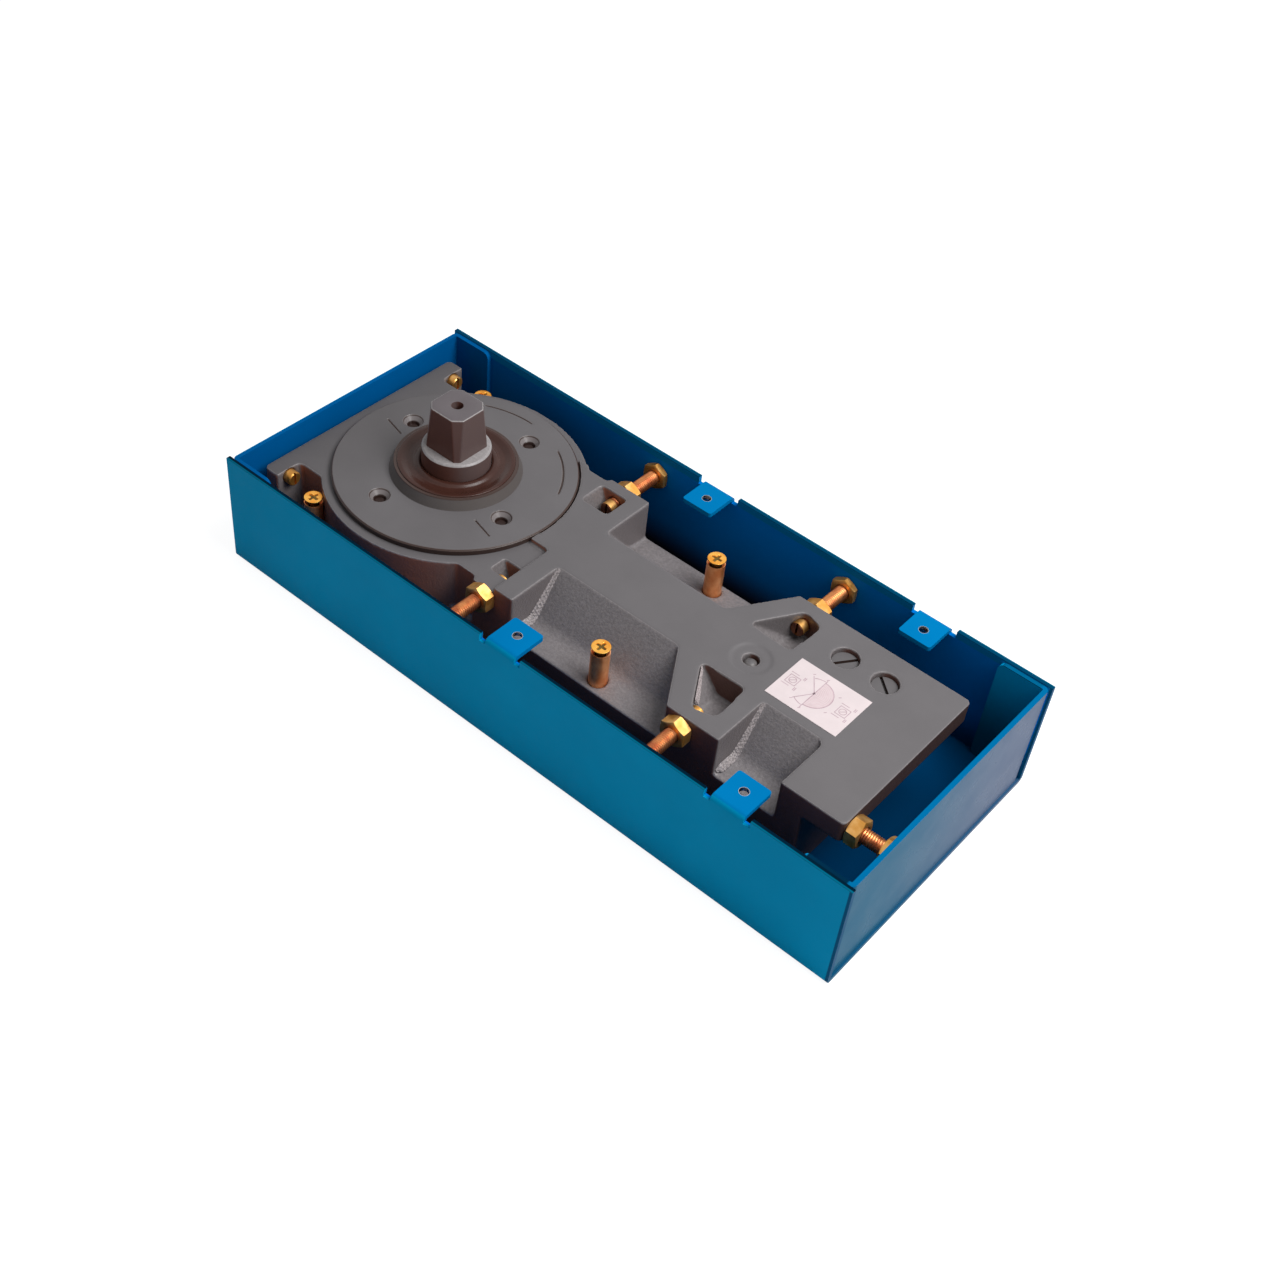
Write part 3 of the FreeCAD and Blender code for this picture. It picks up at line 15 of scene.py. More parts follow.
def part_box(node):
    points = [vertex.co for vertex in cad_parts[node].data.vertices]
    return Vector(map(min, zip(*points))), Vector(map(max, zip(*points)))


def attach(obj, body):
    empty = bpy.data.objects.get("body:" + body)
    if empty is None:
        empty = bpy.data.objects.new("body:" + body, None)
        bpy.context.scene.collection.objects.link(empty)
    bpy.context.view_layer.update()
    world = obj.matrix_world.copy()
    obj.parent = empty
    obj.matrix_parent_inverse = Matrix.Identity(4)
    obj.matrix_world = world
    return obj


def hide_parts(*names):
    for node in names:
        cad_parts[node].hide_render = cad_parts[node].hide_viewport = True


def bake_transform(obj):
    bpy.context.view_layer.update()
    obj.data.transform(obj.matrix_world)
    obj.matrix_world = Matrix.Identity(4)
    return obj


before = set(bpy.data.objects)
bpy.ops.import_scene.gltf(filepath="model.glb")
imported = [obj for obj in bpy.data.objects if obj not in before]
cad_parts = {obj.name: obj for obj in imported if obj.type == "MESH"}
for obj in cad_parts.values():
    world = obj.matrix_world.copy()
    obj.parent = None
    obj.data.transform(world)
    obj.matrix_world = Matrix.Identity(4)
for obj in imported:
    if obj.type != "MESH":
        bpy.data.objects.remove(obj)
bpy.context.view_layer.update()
MM = 0.001

# %% [markdown]
# Every new piece below is one or more grids of points. A grid has rows and columns, and
# neighbours in it are joined by four-sided faces. Rows or columns that run right round,
# as on anything turned, close on themselves. Working with whole arrays keeps each shape
# one formula, and several grids can share one mesh with a finish each.


# %% From grids of points to a mesh
def grid_faces(rows, columns, round_rows, round_columns, start):
    """Four corner numbers per face: (i, j), (i, j+1), (i+1, j+1), (i+1, j), counted from start."""
    i, j = np.meshgrid(np.arange(rows if round_rows else rows - 1),
                       np.arange(columns if round_columns else columns - 1), indexing="ij")
    i, j = i.ravel(), j.ravel()
    down, right = (i + 1) % rows, (j + 1) % columns
    return start + np.stack([i * columns + j, i * columns + right,
                             down * columns + right, down * columns + j], axis=1)


def make_piece(name, grids, finishes, body, sharp=32.0):
    """One mesh from a list of (points in mm, rows closed, columns closed, finish number)."""
    points, faces, numbers, count = [], [], [], 0
    for grid, round_rows, round_columns, number in grids:
        rows, columns = grid.shape[:2]
        cells = grid_faces(rows, columns, round_rows, round_columns, count)
        points.append(grid.reshape(-1, 3) * MM)
        faces.append(cells)
        numbers.append(np.full(len(cells), number))
        count += rows * columns
    mesh = bpy.data.meshes.new(name)
    mesh.from_pydata(np.concatenate(points), [], np.concatenate(faces).tolist())
    mesh.polygons.foreach_set("material_index", np.concatenate(numbers).astype(np.int32))
    for finish in finishes:
        mesh.materials.append(finish)
    return settle(name, mesh, body, sharp)


def settle(name, mesh, body, sharp):
    """Closes seams and poles, turns faces outwards, smooths all but sharp edges, and puts it in the
    scene."""
    work = bmesh.new()
    work.from_mesh(mesh)
    bmesh.ops.remove_doubles(work, verts=work.verts, dist=2e-6)
    bmesh.ops.recalc_face_normals(work, faces=work.faces)
    work.to_mesh(mesh)
    work.free()
    mesh.shade_smooth()
    mesh.set_sharp_from_angle(angle=math.radians(sharp))
    piece = bpy.data.objects.new(name, mesh)
    bpy.context.scene.collection.objects.link(piece)
    if body:
        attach(piece, body)
    print(name, len(mesh.polygons), "faces")
    return piece


# %% [markdown]
# The camera stands where the photographer stood: to the right of the front wall, looking
# down at about 45 degrees, and turned a few degrees about its own line of sight. Its back
# vector points from the object to the lens, and right and up follow from it.

# %% The camera
CAMERA_PLACE = np.array([397.5, -413.3, 522.4])
CAMERA_AZIMUTH, CAMERA_HEIGHT, CAMERA_ROLL = np.radians([35.245, 44.648, 7.108])
FOCAL_PIXELS, FRAME_PIXELS = 1737.98, 1280


def camera_axes():
    """Right, up and back: back from azimuth and height, level right, then both turned by the roll."""
    back = np.array([math.sin(CAMERA_AZIMUTH) * math.cos(CAMERA_HEIGHT),
                     -math.cos(CAMERA_AZIMUTH) * math.cos(CAMERA_HEIGHT), math.sin(CAMERA_HEIGHT)])
    level = np.array([math.cos(CAMERA_AZIMUTH), math.sin(CAMERA_AZIMUTH), 0.0])
    upright = np.cross(back, level)
    turn_c, turn_s = math.cos(CAMERA_ROLL), math.sin(CAMERA_ROLL)
    return turn_c * level + turn_s * upright, -turn_s * level + turn_c * upright, back


lens = bpy.data.cameras.new("bench_camera")
lens.sensor_width = 36.0
lens.lens = FOCAL_PIXELS * lens.sensor_width / FRAME_PIXELS
lens.clip_start = 0.01
camera = bpy.data.objects.new("bench_camera", lens)
camera.matrix_world = Matrix([[*axis, place] for axis, place in
                              zip(np.stack(camera_axes(), axis=1).tolist(), CAMERA_PLACE * MM)]
                             + [[0, 0, 0, 1]])
bpy.context.scene.collection.objects.link(camera)
bpy.context.scene.camera = camera
bpy.context.scene.view_settings.view_transform = "Standard"
print("lens", round(lens.lens, 2), "mm")

# %% [markdown]
# A finish is a small tree of nodes. All patterns read Object coordinates, which are the
# frame's own metres, so they stay on the metal when a piece moves. Noise varies the colour
# a little, a second noise gives the grain of the surface, and Bump turns it into relief.


# %% Node helpers
def new_finish(name):
    """An empty material with its shader, its node tree and the object coordinates ready to use."""
    finish = bpy.data.materials.new(name)
    finish.use_nodes = True
    tree = finish.node_tree
    tree.nodes.clear()
    shader = tree.nodes.new("ShaderNodeBsdfPrincipled")
    output = tree.nodes.new("ShaderNodeOutputMaterial")
    tree.links.new(shader.outputs["BSDF"], output.inputs["Surface"])
    place = tree.nodes.new("ShaderNodeTexCoord").outputs["Object"]
    return finish, tree, shader, place


def noise(tree, place, per_metre, detail=3.0, roughness=0.55):
    """Noise with this many cells in a metre; gives a number near a half."""
    node = tree.nodes.new("ShaderNodeTexNoise")
    node.inputs["Scale"].default_value = per_metre
    node.inputs["Detail"].default_value = detail
    node.inputs["Roughness"].default_value = roughness
    tree.links.new(place, node.inputs["Vector"])
    return node.outputs["Fac"]


def step_up(tree, value, low, high, bottom=0.0, top=1.0):
    """Carries value from low..high to bottom..top in a smooth step, and holds it outside."""
    node = tree.nodes.new("ShaderNodeMapRange")
    node.interpolation_type = "SMOOTHSTEP"
    for name, number in (("From Min", low), ("From Max", high), ("To Min", bottom), ("To Max", top)):
        node.inputs[name].default_value = number
    tree.links.new(value, node.inputs["Value"])
    return node.outputs["Result"]


def blend_colours(tree, share, first, second):
    """Colour that goes from first to second as share goes from 0 to 1; each is a colour or a socket."""
    node = tree.nodes.new("ShaderNodeMix")
    node.data_type = "RGBA"
    tree.links.new(share, node.inputs["Factor"])
    for name, colour in (("A", first), ("B", second)):
        sockets = [s for s in node.inputs if s.name == name and s.type == "RGBA"]
        if isinstance(colour, tuple):
            sockets[0].default_value = (*colour, 1.0)
        else:
            tree.links.new(colour, sockets[0])
    return [s for s in node.outputs if s.type == "RGBA"][0]


def sums(tree, operation, first, second):
    """One step of arithmetic between sockets or numbers."""
    node = tree.nodes.new("ShaderNodeMath")
    node.operation = operation
    for socket, value in zip(node.inputs, (first, second)):
        if isinstance(value, (int, float)):
            socket.default_value = value
        else:
            tree.links.new(value, socket)
    return node.outputs[0]


def seen_directly(tree):
    """One for rays from the camera, by reflection or through glass, and zero for rays that only light."""
    path = tree.nodes.new("ShaderNodeLightPath")
    seen = sums(tree, "MAXIMUM", path.outputs["Is Camera Ray"], path.outputs["Is Glossy Ray"])
    return sums(tree, "MAXIMUM", seen, path.outputs["Is Transmission Ray"])


def relief(tree, shader, height, strength, depth):
    """Bumps the surface by this height pattern; depth is in metres."""
    node = tree.nodes.new("ShaderNodeBump")
    node.inputs["Strength"].default_value = strength
    node.inputs["Distance"].default_value = depth
    tree.links.new(height, node.inputs["Height"])
    tree.links.new(node.outputs["Normal"], shader.inputs["Normal"])


def along_axis(tree, place, axis):
    """One coordinate of a place or a direction; R is a place's distance from the spindle's axis."""
    if axis == "R":
        level, length = tree.nodes.new("ShaderNodeVectorMath"), tree.nodes.new("ShaderNodeVectorMath")
        level.operation, length.operation = "MULTIPLY", "LENGTH"
        level.inputs[1].default_value = (1, 1, 0)
        tree.links.new(place, level.inputs[0])
        tree.links.new(level.outputs[0], length.inputs[0])
        return length.outputs["Value"]
    split = tree.nodes.new("ShaderNodeSeparateXYZ")
    tree.links.new(place, split.inputs[0])
    return split.outputs[axis]


def layered(tree, place, colour, layers):
    """layers lists (axis, from, to, colour); each colour fades in as that axis runs between two metres.
    Any colour can itself run from one colour to another: (axis, from, to, first, second)."""
    if isinstance(colour, tuple) and isinstance(colour[0], str):
        colour = layered(tree, place, colour[3], [(*colour[:3], colour[4])])
    for axis, start, end, over in layers:
        share = step_up(tree, along_axis(tree, place, axis), start, end)
        colour = blend_colours(tree, share, colour, layered(tree, place, over, []))
    return colour


# %% [markdown]
# The box is folded from 2 mm sheet and painted a satin blue. The paint is navy inside,
# greener on the outer skins, and a blue of its own on the four tabs. Masks on the distance
# from each skin tell them apart. The cut rim is darker, with a painted highlight along the outer
# edge of the front and back rims. Orange peel, the fine waviness of sprayed paint, is a low bump,
# and a slow noise keeps the walls from looking like one flat colour.
# Some layers stand for the photograph's light and not for paint: the darker left end, the shade
# towards the floor and the lavender skin of the right wall. Under other lamps they may look wrong.


# %% Blue box paint
SEA, TAB_BLUE, EDGE_BLUE = (0.0, 0.245, 0.460), (0.0, 0.17, 0.42), (0.002, 0.071, 0.164)
SHADE, FLOOR_BLUE = (0.014, 0.010, 0.012), (0.0, 0.050, 0.150)
# END_SKIN is a painted sheen: the lavender reflection on the outer skin at the right end, lighter towards the
# back.
END_SKIN = ("Y", -0.055, 0.060, (0.020, 0.112, 0.196), (0.105, 0.138, 0.214))


def box_paint(name, inside, skins, rim, rim_skins, roughness):
    """Colour of the walls and floor by layers, and of the cut rim at the top by its own layers."""
    finish, tree, shader, place = new_finish(name)
    wall = layered(tree, place, tuple(0.68 * c for c in inside), [("X", -0.05, 0.09, inside)])
    deep = layered(tree, place, SHADE, [("X", 0.195, 0.222, FLOOR_BLUE)])
    wall = layered(tree, place, wall, [("Z", 0.024, 0.004, deep)] + skins)
    cut = layered(tree, place, rim, rim_skins)
    wall = layered(tree, place, wall, [("Z", 0.0546, 0.0549, cut)])
    cloud = step_up(tree, noise(tree, place, 22.0), 0.3, 0.7, 0.0, 0.1)
    tree.links.new(blend_colours(tree, cloud, wall, (0.0, 0.02, 0.06)), shader.inputs["Base Color"])
    gloss = step_up(tree, noise(tree, place, 60.0), 0.3, 0.7, roughness - 0.05, roughness + 0.06)
    tree.links.new(gloss, shader.inputs["Roughness"])
    shader.inputs["Specular IOR Level"].default_value = 0.01
    relief(tree, shader, noise(tree, place, 300.0, 1.0), 0.02, 0.0002)
    return finish


blue_paint = box_paint("blue_box_paint", (0.0, 0.17, 0.59), [
    ("Z", 0.0515, 0.0522, TAB_BLUE), ("Y", -0.0665, -0.0672, SEA),
    ("Y", 0.0672, 0.0678, SEA), ("X", 0.2526, 0.2530, ("Z", 0.0021, 0.0018, EDGE_BLUE, END_SKIN)),
    ("X", -0.0652, -0.0658, SEA)],
    # The bright lines along the outer edge of the front and back rims are painted highlights.
    (0.0, 0.011, 0.025), [("Y", 0.060, 0.066, (0.0, 0.045, 0.105)),
                          ("Y", -0.0671, -0.0674, (0.0, 0.11, 0.19)),
                          ("Y", 0.0673, 0.0677, (0.0, 0.12, 0.20))], 0.36)
# The left wall's inside is a darker blue than the box's, a painted shade.
left_paint = box_paint("left_wall_paint", (0.0, 0.145, 0.46), [("X", -0.0645, -0.0649, SEA)],
                       (0.0, 0.018, 0.040), [], 0.36)
# The right wall's inside is a lighter blue than the box's, painted light on its flap; it darkens towards the
# floor, a painted shade, and its outer skin carries the painted sheen END_SKIN.
end_paint = box_paint("right_wall_paint", (0.0, 0.32, 0.66), [
    ("Z", 0.050, 0.010, (0.0, 0.11, 0.22)), ("X", 0.2522, 0.2528, END_SKIN),
    ("Z", 0.0539, 0.0542, ("X", 0.2495, 0.2505,
                           ("Y", -0.06, 0.06, (0.0, 0.020, 0.050), (0.0, 0.100, 0.22)),
                           (0.0, 0.125, 0.30)))], (0.0, 0.125, 0.30), [], 0.30)
print("box paints ready")

# %% [markdown]
# The casting is sprayed dark grey. The machined faces that look up are flat and even, the
# sand-cast slopes are rough and glossy and a lighter grey, partly a painted sheen, and the
# upright sides are brown, a painted shade. The direction that the surface faces, in the piece's
# own axes, tells the three apart.
# The darker far left and the redder side of the head stand for light here too.


# %% Grey paint by slope
def slope_paint(name, flat, slope, side, front, flat_above=0.0468, right_share=0.75, slope_from=0.10,
                grain_depth=0.0005, gloss=0.3, layers=()):
    """Colours for faces that look up, slopes, upright sides and sides that look to the front, then layers.
    The colour of the sides and of the front is a pair: the colour and its own layers."""
    finish, tree, shader, place = new_finish(name)
    facing = tree.nodes.new("ShaderNodeTexCoord").outputs["Normal"]
    up = along_axis(tree, facing, "Z")
    high = step_up(tree, along_axis(tree, place, "Z"), flat_above - 0.0004, flat_above)
    level = sums(tree, "MULTIPLY", step_up(tree, up, 0.86, 0.96), high)
    cloud = step_up(tree, noise(tree, place, 40.0), 0.32, 0.68)
    even = blend_colours(tree, cloud, tuple(0.96 * c for c in flat), tuple(1.04 * c for c in flat))
    far_left = step_up(tree, along_axis(tree, place, "X"), 0.0, -0.06, 0.0, 0.4)
    even = blend_colours(tree, far_left, even, (0.05, 0.045, 0.045))
    grain = noise(tree, place, 900.0, 4.0, 0.6)
    sandy = blend_colours(tree, step_up(tree, grain, 0.3, 0.75), tuple(0.85 * c for c in slope),
                          tuple(1.15 * c for c in slope))
    # Painted shade: upright sides take the dark side colour, and sides that look to the front take the front
    # colour.
    sides = blend_colours(tree, step_up(tree, along_axis(tree, facing, "Y"), -0.5, -0.95),
                          layered(tree, place, *side), layered(tree, place, *front))
    # Painted light: sides that look right take the slope colour, except at the outboard end, which keeps the
    # painted shade.
    right = step_up(tree, along_axis(tree, facing, "X"), 0.4, 0.9, 0.0, right_share)
    inboard = step_up(tree, along_axis(tree, place, "X"), 0.215, 0.200)
    upright = blend_colours(tree, sums(tree, "MULTIPLY", right, inboard), sides, slope)
    lower = blend_colours(tree, step_up(tree, up, slope_from, slope_from + 0.3), upright, sandy)
    paint = layered(tree, place, blend_colours(tree, level, lower, even), layers)
    tree.links.new(paint, shader.inputs["Base Color"])
    tree.links.new(step_up(tree, level, 0.0, 1.0, 0.36, 0.5), shader.inputs["Roughness"])
    shader.inputs["Specular IOR Level"].default_value = gloss
    fine = sums(tree, "MULTIPLY", noise(tree, place, 2200.0, 2.0), 0.10)
    coarse = sums(tree, "MULTIPLY", grain, step_up(tree, level, 0.0, 1.0, 1.0, 0.0))
    relief(tree, shader, sums(tree, "ADD", fine, coarse), 0.45, grain_depth)
    return finish


deck_grey, shaded_side_brown, lit_pocket_grey = (0.113, 0.106, 0.110), (0.060, 0.035, 0.030), (0.125, 0.110, 0.108)
boss_side_shade, pit_shade_brown, rim_shade_brown = (0.085, 0.073, 0.069), (0.020, 0.009, 0.007), (0.045, 0.026, 0.021)
# On the casting the pocket walls are a lighter side colour, painted light, and the head's front is redder,
# painted light too.
casting = slope_paint("grey_cast_paint", deck_grey, (0.175, 0.160, 0.163),
                      (shaded_side_brown, [("X", 0.1452, 0.1475, lit_pocket_grey), ("X", 0.169, 0.172, shaded_side_brown)]),
                      ((0.120, 0.056, 0.044), [("X", 0.078, 0.066, (0.30, 0.115, 0.070))]))
# On the filler plug and the valve screws the upright sides are a painted shade.
plug_grey = slope_paint("grey_plug_paint", (0.100, 0.094, 0.097), (0.12, 0.11, 0.11), (rim_shade_brown, []),
                        (rim_shade_brown, []), 0.0460, 0.0, 0.45, 0.0001)
# On the cover the upright sides are a painted shade and the slopes a lighter grey, a painted highlight. The
# layers paint shade in the grooves, round the tops of the holes, at their bottoms, on the boss's top ring
# beside the seal and in the gap round the rim, and a painted highlight part way down the holes.
cover_grey = slope_paint("grey_cover_paint", (0.116, 0.109, 0.113), (0.190, 0.172, 0.172), (boss_side_shade, []),
                         (boss_side_shade, []), 0.0460, 0.0, 0.45, 0.0001, 0.3, [
                             ("Z", 0.0505, 0.0502, (0.050, 0.034, 0.030)),
                             ("Z", 0.0500, 0.0498, (0.17, 0.15, 0.15)), ("Z", 0.0486, 0.0483, pit_shade_brown),
                             ("Z", 0.0545, 0.0550, (0.050, 0.030, 0.025)),
                             ("R", 0.0514, 0.0518, rim_shade_brown)])
# On the spindle the faces that look to the front are a darker, redder painted shade, and the rounded rims and
# the collar's chamfer take the pale slope grey as a painted highlight.
spindle_grey = slope_paint("grey_spindle_paint", (0.112, 0.098, 0.104), (0.30, 0.28, 0.28),
                           ((0.102, 0.068, 0.064), []), ((0.100, 0.040, 0.030), []), 0.0800, 0.0, 0.30,
                           0.00005, 0.25)
print("painted castings ready")

# %% [markdown]
# Screws and nuts are yellow passivated: zinc with a thin chromate film whose colour runs
# from straw to copper. Metallic is 0.7 to 0.9, chosen beside the photograph, and the
# colour changes by a noise stretched over a few millimetres.


# %% Plated and bare metals
def metal(name, first, second, cells, roughness, metallic=1.0, grain=1800.0, strength=0.25, gloss=0.5):
    """Two colours mixed by noise of this many cells in a metre, with a varying roughness and a fine grain."""
    finish, tree, shader, place = new_finish(name)
    tint = step_up(tree, noise(tree, place, cells), 0.35, 0.65)
    tree.links.new(blend_colours(tree, tint, first, second), shader.inputs["Base Color"])
    shader.inputs["Metallic"].default_value = metallic
    shader.inputs["Specular IOR Level"].default_value = gloss
    worn = step_up(tree, noise(tree, place, 2.5 * cells), 0.3, 0.7, roughness - 0.06, roughness + 0.08)
    tree.links.new(worn, shader.inputs["Roughness"])
    relief(tree, shader, noise(tree, place, grain, 2.0), strength, 0.00008)
    return finish


straw_zinc = metal("straw_zinc", (0.50, 0.23, 0.045), (0.64, 0.36, 0.12), 180.0, 0.40, 0.85)
copper_zinc = metal("copper_zinc", (0.42, 0.12, 0.045), (0.62, 0.25, 0.09), 220.0, 0.34, 0.85)
# The dark finish of a screw's tip face is a painted shade.
shaded_tip_zinc = metal("shaded_tip_zinc", (0.10, 0.028, 0.015), (0.20, 0.07, 0.03), 220.0, 0.40, 0.7)
gold_zinc = metal("gold_zinc", (0.80, 0.31, 0.03), (0.86, 0.44, 0.08), 200.0, 0.30, 0.75)
sleeve_zinc = metal("sleeve_zinc", (0.80, 0.27, 0.09), (0.98, 0.44, 0.19), 160.0, 0.38, 0.8, 1800.0, 0.0)
# The dark finish under the clamp heads and in their crosses is a painted shade.
shaded_cone_zinc = metal("shaded_cone_zinc", (0.10, 0.06, 0.015), (0.18, 0.12, 0.03), 300.0, 0.35, 0.9)
ground_steel = metal("ground_steel", (0.50, 0.49, 0.47), (0.58, 0.57, 0.56), 120.0, 0.22)
spring_steel = metal("blued_spring_steel", (0.10, 0.11, 0.13), (0.17, 0.17, 0.19), 90.0, 0.35)
bronze = metal("bush_bronze", (0.50, 0.27, 0.11), (0.58, 0.34, 0.15), 150.0, 0.3)
piston_plastic = metal("piston_plastic", (0.62, 0.60, 0.52), (0.68, 0.66, 0.58), 80.0, 0.42, 0.0)
print("metals ready")


# %% [markdown]
# Rubber is almost black with a warm brown cast, and its oiled skin is glossy. The label is
# matt white film. Neither needs more than a faint noise, at the scale of the real surface.

# %% Rubber and label film
seal_rubber = metal("seal_rubber", (0.038, 0.012, 0.008), (0.052, 0.020, 0.014), 30.0, 0.28, 0.0,
                    300.0, 0.0, 0.24)
label_film = metal("label_film", (0.61, 0.530, 0.535), (0.64, 0.555, 0.56), 120.0, 0.5, 0.0, 1500.0, 0.05)
label_ink = metal("label_ink", (0.36, 0.24, 0.28), (0.44, 0.32, 0.36), 300.0, 0.5, 0.0)
label_tint = metal("label_tint", (0.56, 0.43, 0.45), (0.60, 0.47, 0.49), 300.0, 0.5, 0.0)
print("soft finishes ready")

# %% [markdown]
# The nodes that keep their own shape only need a finish. Hidden parts get theirs too,
# because the mechanism is looked at from inside when it moves.

# %% Finishes for the nodes that stay
NODE_FINISH = {
    "heart_cam": ground_steel, "cam_key": ground_steel, "upper_needle_bearing": ground_steel,
    "thrust_bearing": ground_steel, "thrust_shaft_washer": ground_steel,
    "lower_slide_plate": ground_steel, "upper_slide_plate": ground_steel, "rod_block": ground_steel,
    "pull_rod": ground_steel, "main_roller": ground_steel, "main_roller_pin": ground_steel,
    "return_roller": ground_steel, "return_roller_pin": ground_steel,
    "check_valve_ball": ground_steel, "rod_nut": ground_steel, "rod_bush": bronze,
    "spring_seat": spring_steel, "piston": piston_plastic,
    "piston_ring": seal_rubber, "cover_ring": seal_rubber, "end_plug_ring": seal_rubber,
    "sweep_valve_ring": seal_rubber, "latch_valve_ring": seal_rubber, "end_plug": ground_steel,
    "filler_plug": plug_grey, "cement_box": blue_paint, "left_end_wall": left_paint,
    "right_end_wall": end_paint,
}
for node, finish in NODE_FINISH.items():
    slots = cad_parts[node].material_slots
    for place in slots:
        place.link = "OBJECT"
        place.material = finish
print(len(NODE_FINISH), "nodes finished")


# %% [markdown]
# The closer body is the heart of the picture. Its edges are cast, so each is rounded by
# about a millimetre and each inner corner is filled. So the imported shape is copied, welded,
# rebuilt from small cubes, relaxed and thinned, which softens every edge at once, much as
# the sand mould does.


# %% The cast body
def soft_cast(name, node, cube, relax, thin):
    """Copy of a node rebuilt on cubes of this size in mm, relaxed this often, with a share of faces kept."""
    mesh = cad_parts[node].data.copy()
    mesh.materials.clear()
    work = bmesh.new()
    work.from_mesh(mesh)
    bmesh.ops.remove_doubles(work, verts=work.verts, dist=1e-6)
    work.to_mesh(mesh)
    work.free()
    rough = bpy.data.objects.new(name + "_rough", mesh)
    bpy.context.scene.collection.objects.link(rough)
    voxels = rough.modifiers.new("cubes", "REMESH")
    voxels.mode = "VOXEL"
    voxels.voxel_size = cube * MM
    soften = rough.modifiers.new("relax", "SMOOTH")
    soften.iterations = relax
    fewer = rough.modifiers.new("thin", "DECIMATE")
    fewer.ratio = thin
    bpy.context.view_layer.update()
    shaped = bpy.data.meshes.new_from_object(rough.evaluated_get(bpy.context.evaluated_depsgraph_get()))
    bpy.data.objects.remove(rough)
    return shaped


body_mesh = soft_cast("cast_body", "closer_body", 0.7, 3, 0.42)
body_mesh.materials.append(casting)
cast_body = settle("cast_body", body_mesh, "base", 80.0)
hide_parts("closer_body")

# %% [markdown]
# Where a recess meets an upright wall the sand has left a rough fillet that widens downwards.
# Each is a strip between the wall and the sloped floor, and its lumps are crossing sine waves.


# %% The rough fillets
def smooth(value, low, high):
    """Smooth step: 0 at low, 1 at high, three squares less two cubes between."""
    share = np.clip((value - low) / (high - low), 0.0, 1.0)
    return share * share * (3 - 2 * share)


def lumps(u, v):
    """Sum of crossing sine waves; each is finer and lower than the one before."""
    return sum(np.sin(1.8 ** k * u + 3.1 * k) * np.sin(1.7 ** k * v + 1.3 * k) / k for k in range(1, 7))


def fillet_bead(corners, wall, out, width):
    """Strip along a path of corners, from the wall that faces along wall to the floor that runs along out."""
    corners, out = np.array(corners, float), np.array(out, float)
    way = np.concatenate([[0.0], np.cumsum(np.linalg.norm(np.diff(corners, axis=0), axis=1))])
    share = np.linspace(0.0, 1.0, 220)
    near = np.clip(share[:, None] * way[-1] + np.linspace(-2.5, 2.5, 9), 0.0, way[-1])
    path = np.stack([np.interp(near, way, c).mean(axis=1) for c in corners.T], axis=1)
    up = np.cross(wall, np.gradient(path, axis=0))
    up *= np.sign(up[:, 2:]) / np.linalg.norm(up, axis=1)[:, None]
    across = np.linspace(0.0, 1.0, 14)[None, :, None]
    grow = width * (0.5 + 0.5 * smooth(share, 0.0, 0.8))
    wide = (grow * (1 - 0.6 * smooth(share, 0.9, 1.0)))[:, None, None]
    ragged = 1 + 0.05 * lumps(70 * share[:, None, None], 4 * across)
    bulge = 4 * across * (1 - across) * wide * (0.03 + 0.02 * lumps(90 * share[:, None, None], 14 * across))
    return path[:, None, :] + (wide * ragged * (1 - across) + bulge + 0.10) * up[:, None, :] \
        + (wide * ragged * across + bulge + 0.10) * out


# The grit is lighter than the slopes: partly rough sand, partly a painted sparkle.
grit_and_sparkle_grey = metal("fillet_grit", (0.15, 0.135, 0.134), (0.33, 0.29, 0.29), 1500.0, 0.5, 0.0, 2200.0, 0.6)
beads = [fillet_bead([(x, -14.5, 50.5), (x, -30.0, 32.0), (x, -41.6, 32.0)], (1, 0, 0), (1, 0, 0), width)
         for x, width in ((72.0, 2.6), (176.0, 2.4))]
beads.append(fillet_bead([(146.4, -15.2, 49.8), (153.3, -27.0, 41.0)],
                         (0.86, 0.51, 0), (0.55, 0.33, -0.72), 2.6))
# The pocket's fillet is paler still, a painted highlight along the ridge.
grit_highlight_grey = metal("pale_grit_highlight", (0.26, 0.22, 0.22), (0.62, 0.55, 0.55), 1500.0, 0.5, 0.0,
                  2200.0, 0.6)
make_piece("rough_fillets", [(b, False, False, k) for b, k in zip(beads, (0, 0, 1))],
           [grit_and_sparkle_grey, grit_highlight_grey], "base", 60.0)

# %% [markdown]
# Turned parts are a profile carried round an axis. The profile is a list of radius and
# height, and rounding its corners is what makes the part look machined and not drawn.


# %% Profiles and turning
def rounded(profile, radius=0.3, steps=4):
    """Profile whose inner corners become short arcs: each is cut at radius and filled by a quadratic."""
    points = np.asarray(profile, float)
    out = [points[:1]]
    share = np.linspace(0.0, 1.0, steps + 1)[:, None]
    for before, corner, after in zip(points[:-2], points[1:-1], points[2:]):
        reach = min(radius, 0.45 * np.linalg.norm(corner - before), 0.45 * np.linalg.norm(after - corner))
        start = corner + reach * (before - corner) / np.linalg.norm(before - corner)
        end = corner + reach * (after - corner) / np.linalg.norm(after - corner)
        out.append((1 - share) ** 2 * start + 2 * share * (1 - share) * corner + share ** 2 * end)
    return np.concatenate(out + [points[-1:]])


def turned(profile, segments=96):
    """Surface of turning: radius times cosine and sine of the angle, and the profile's height."""
    angle = np.linspace(0.0, 2 * np.pi, segments, endpoint=False)
    radius, height = np.asarray(profile, float).T
    return np.stack([radius[:, None] * np.cos(angle), radius[:, None] * np.sin(angle),
                     np.repeat(height[:, None], segments, axis=1)], axis=2)


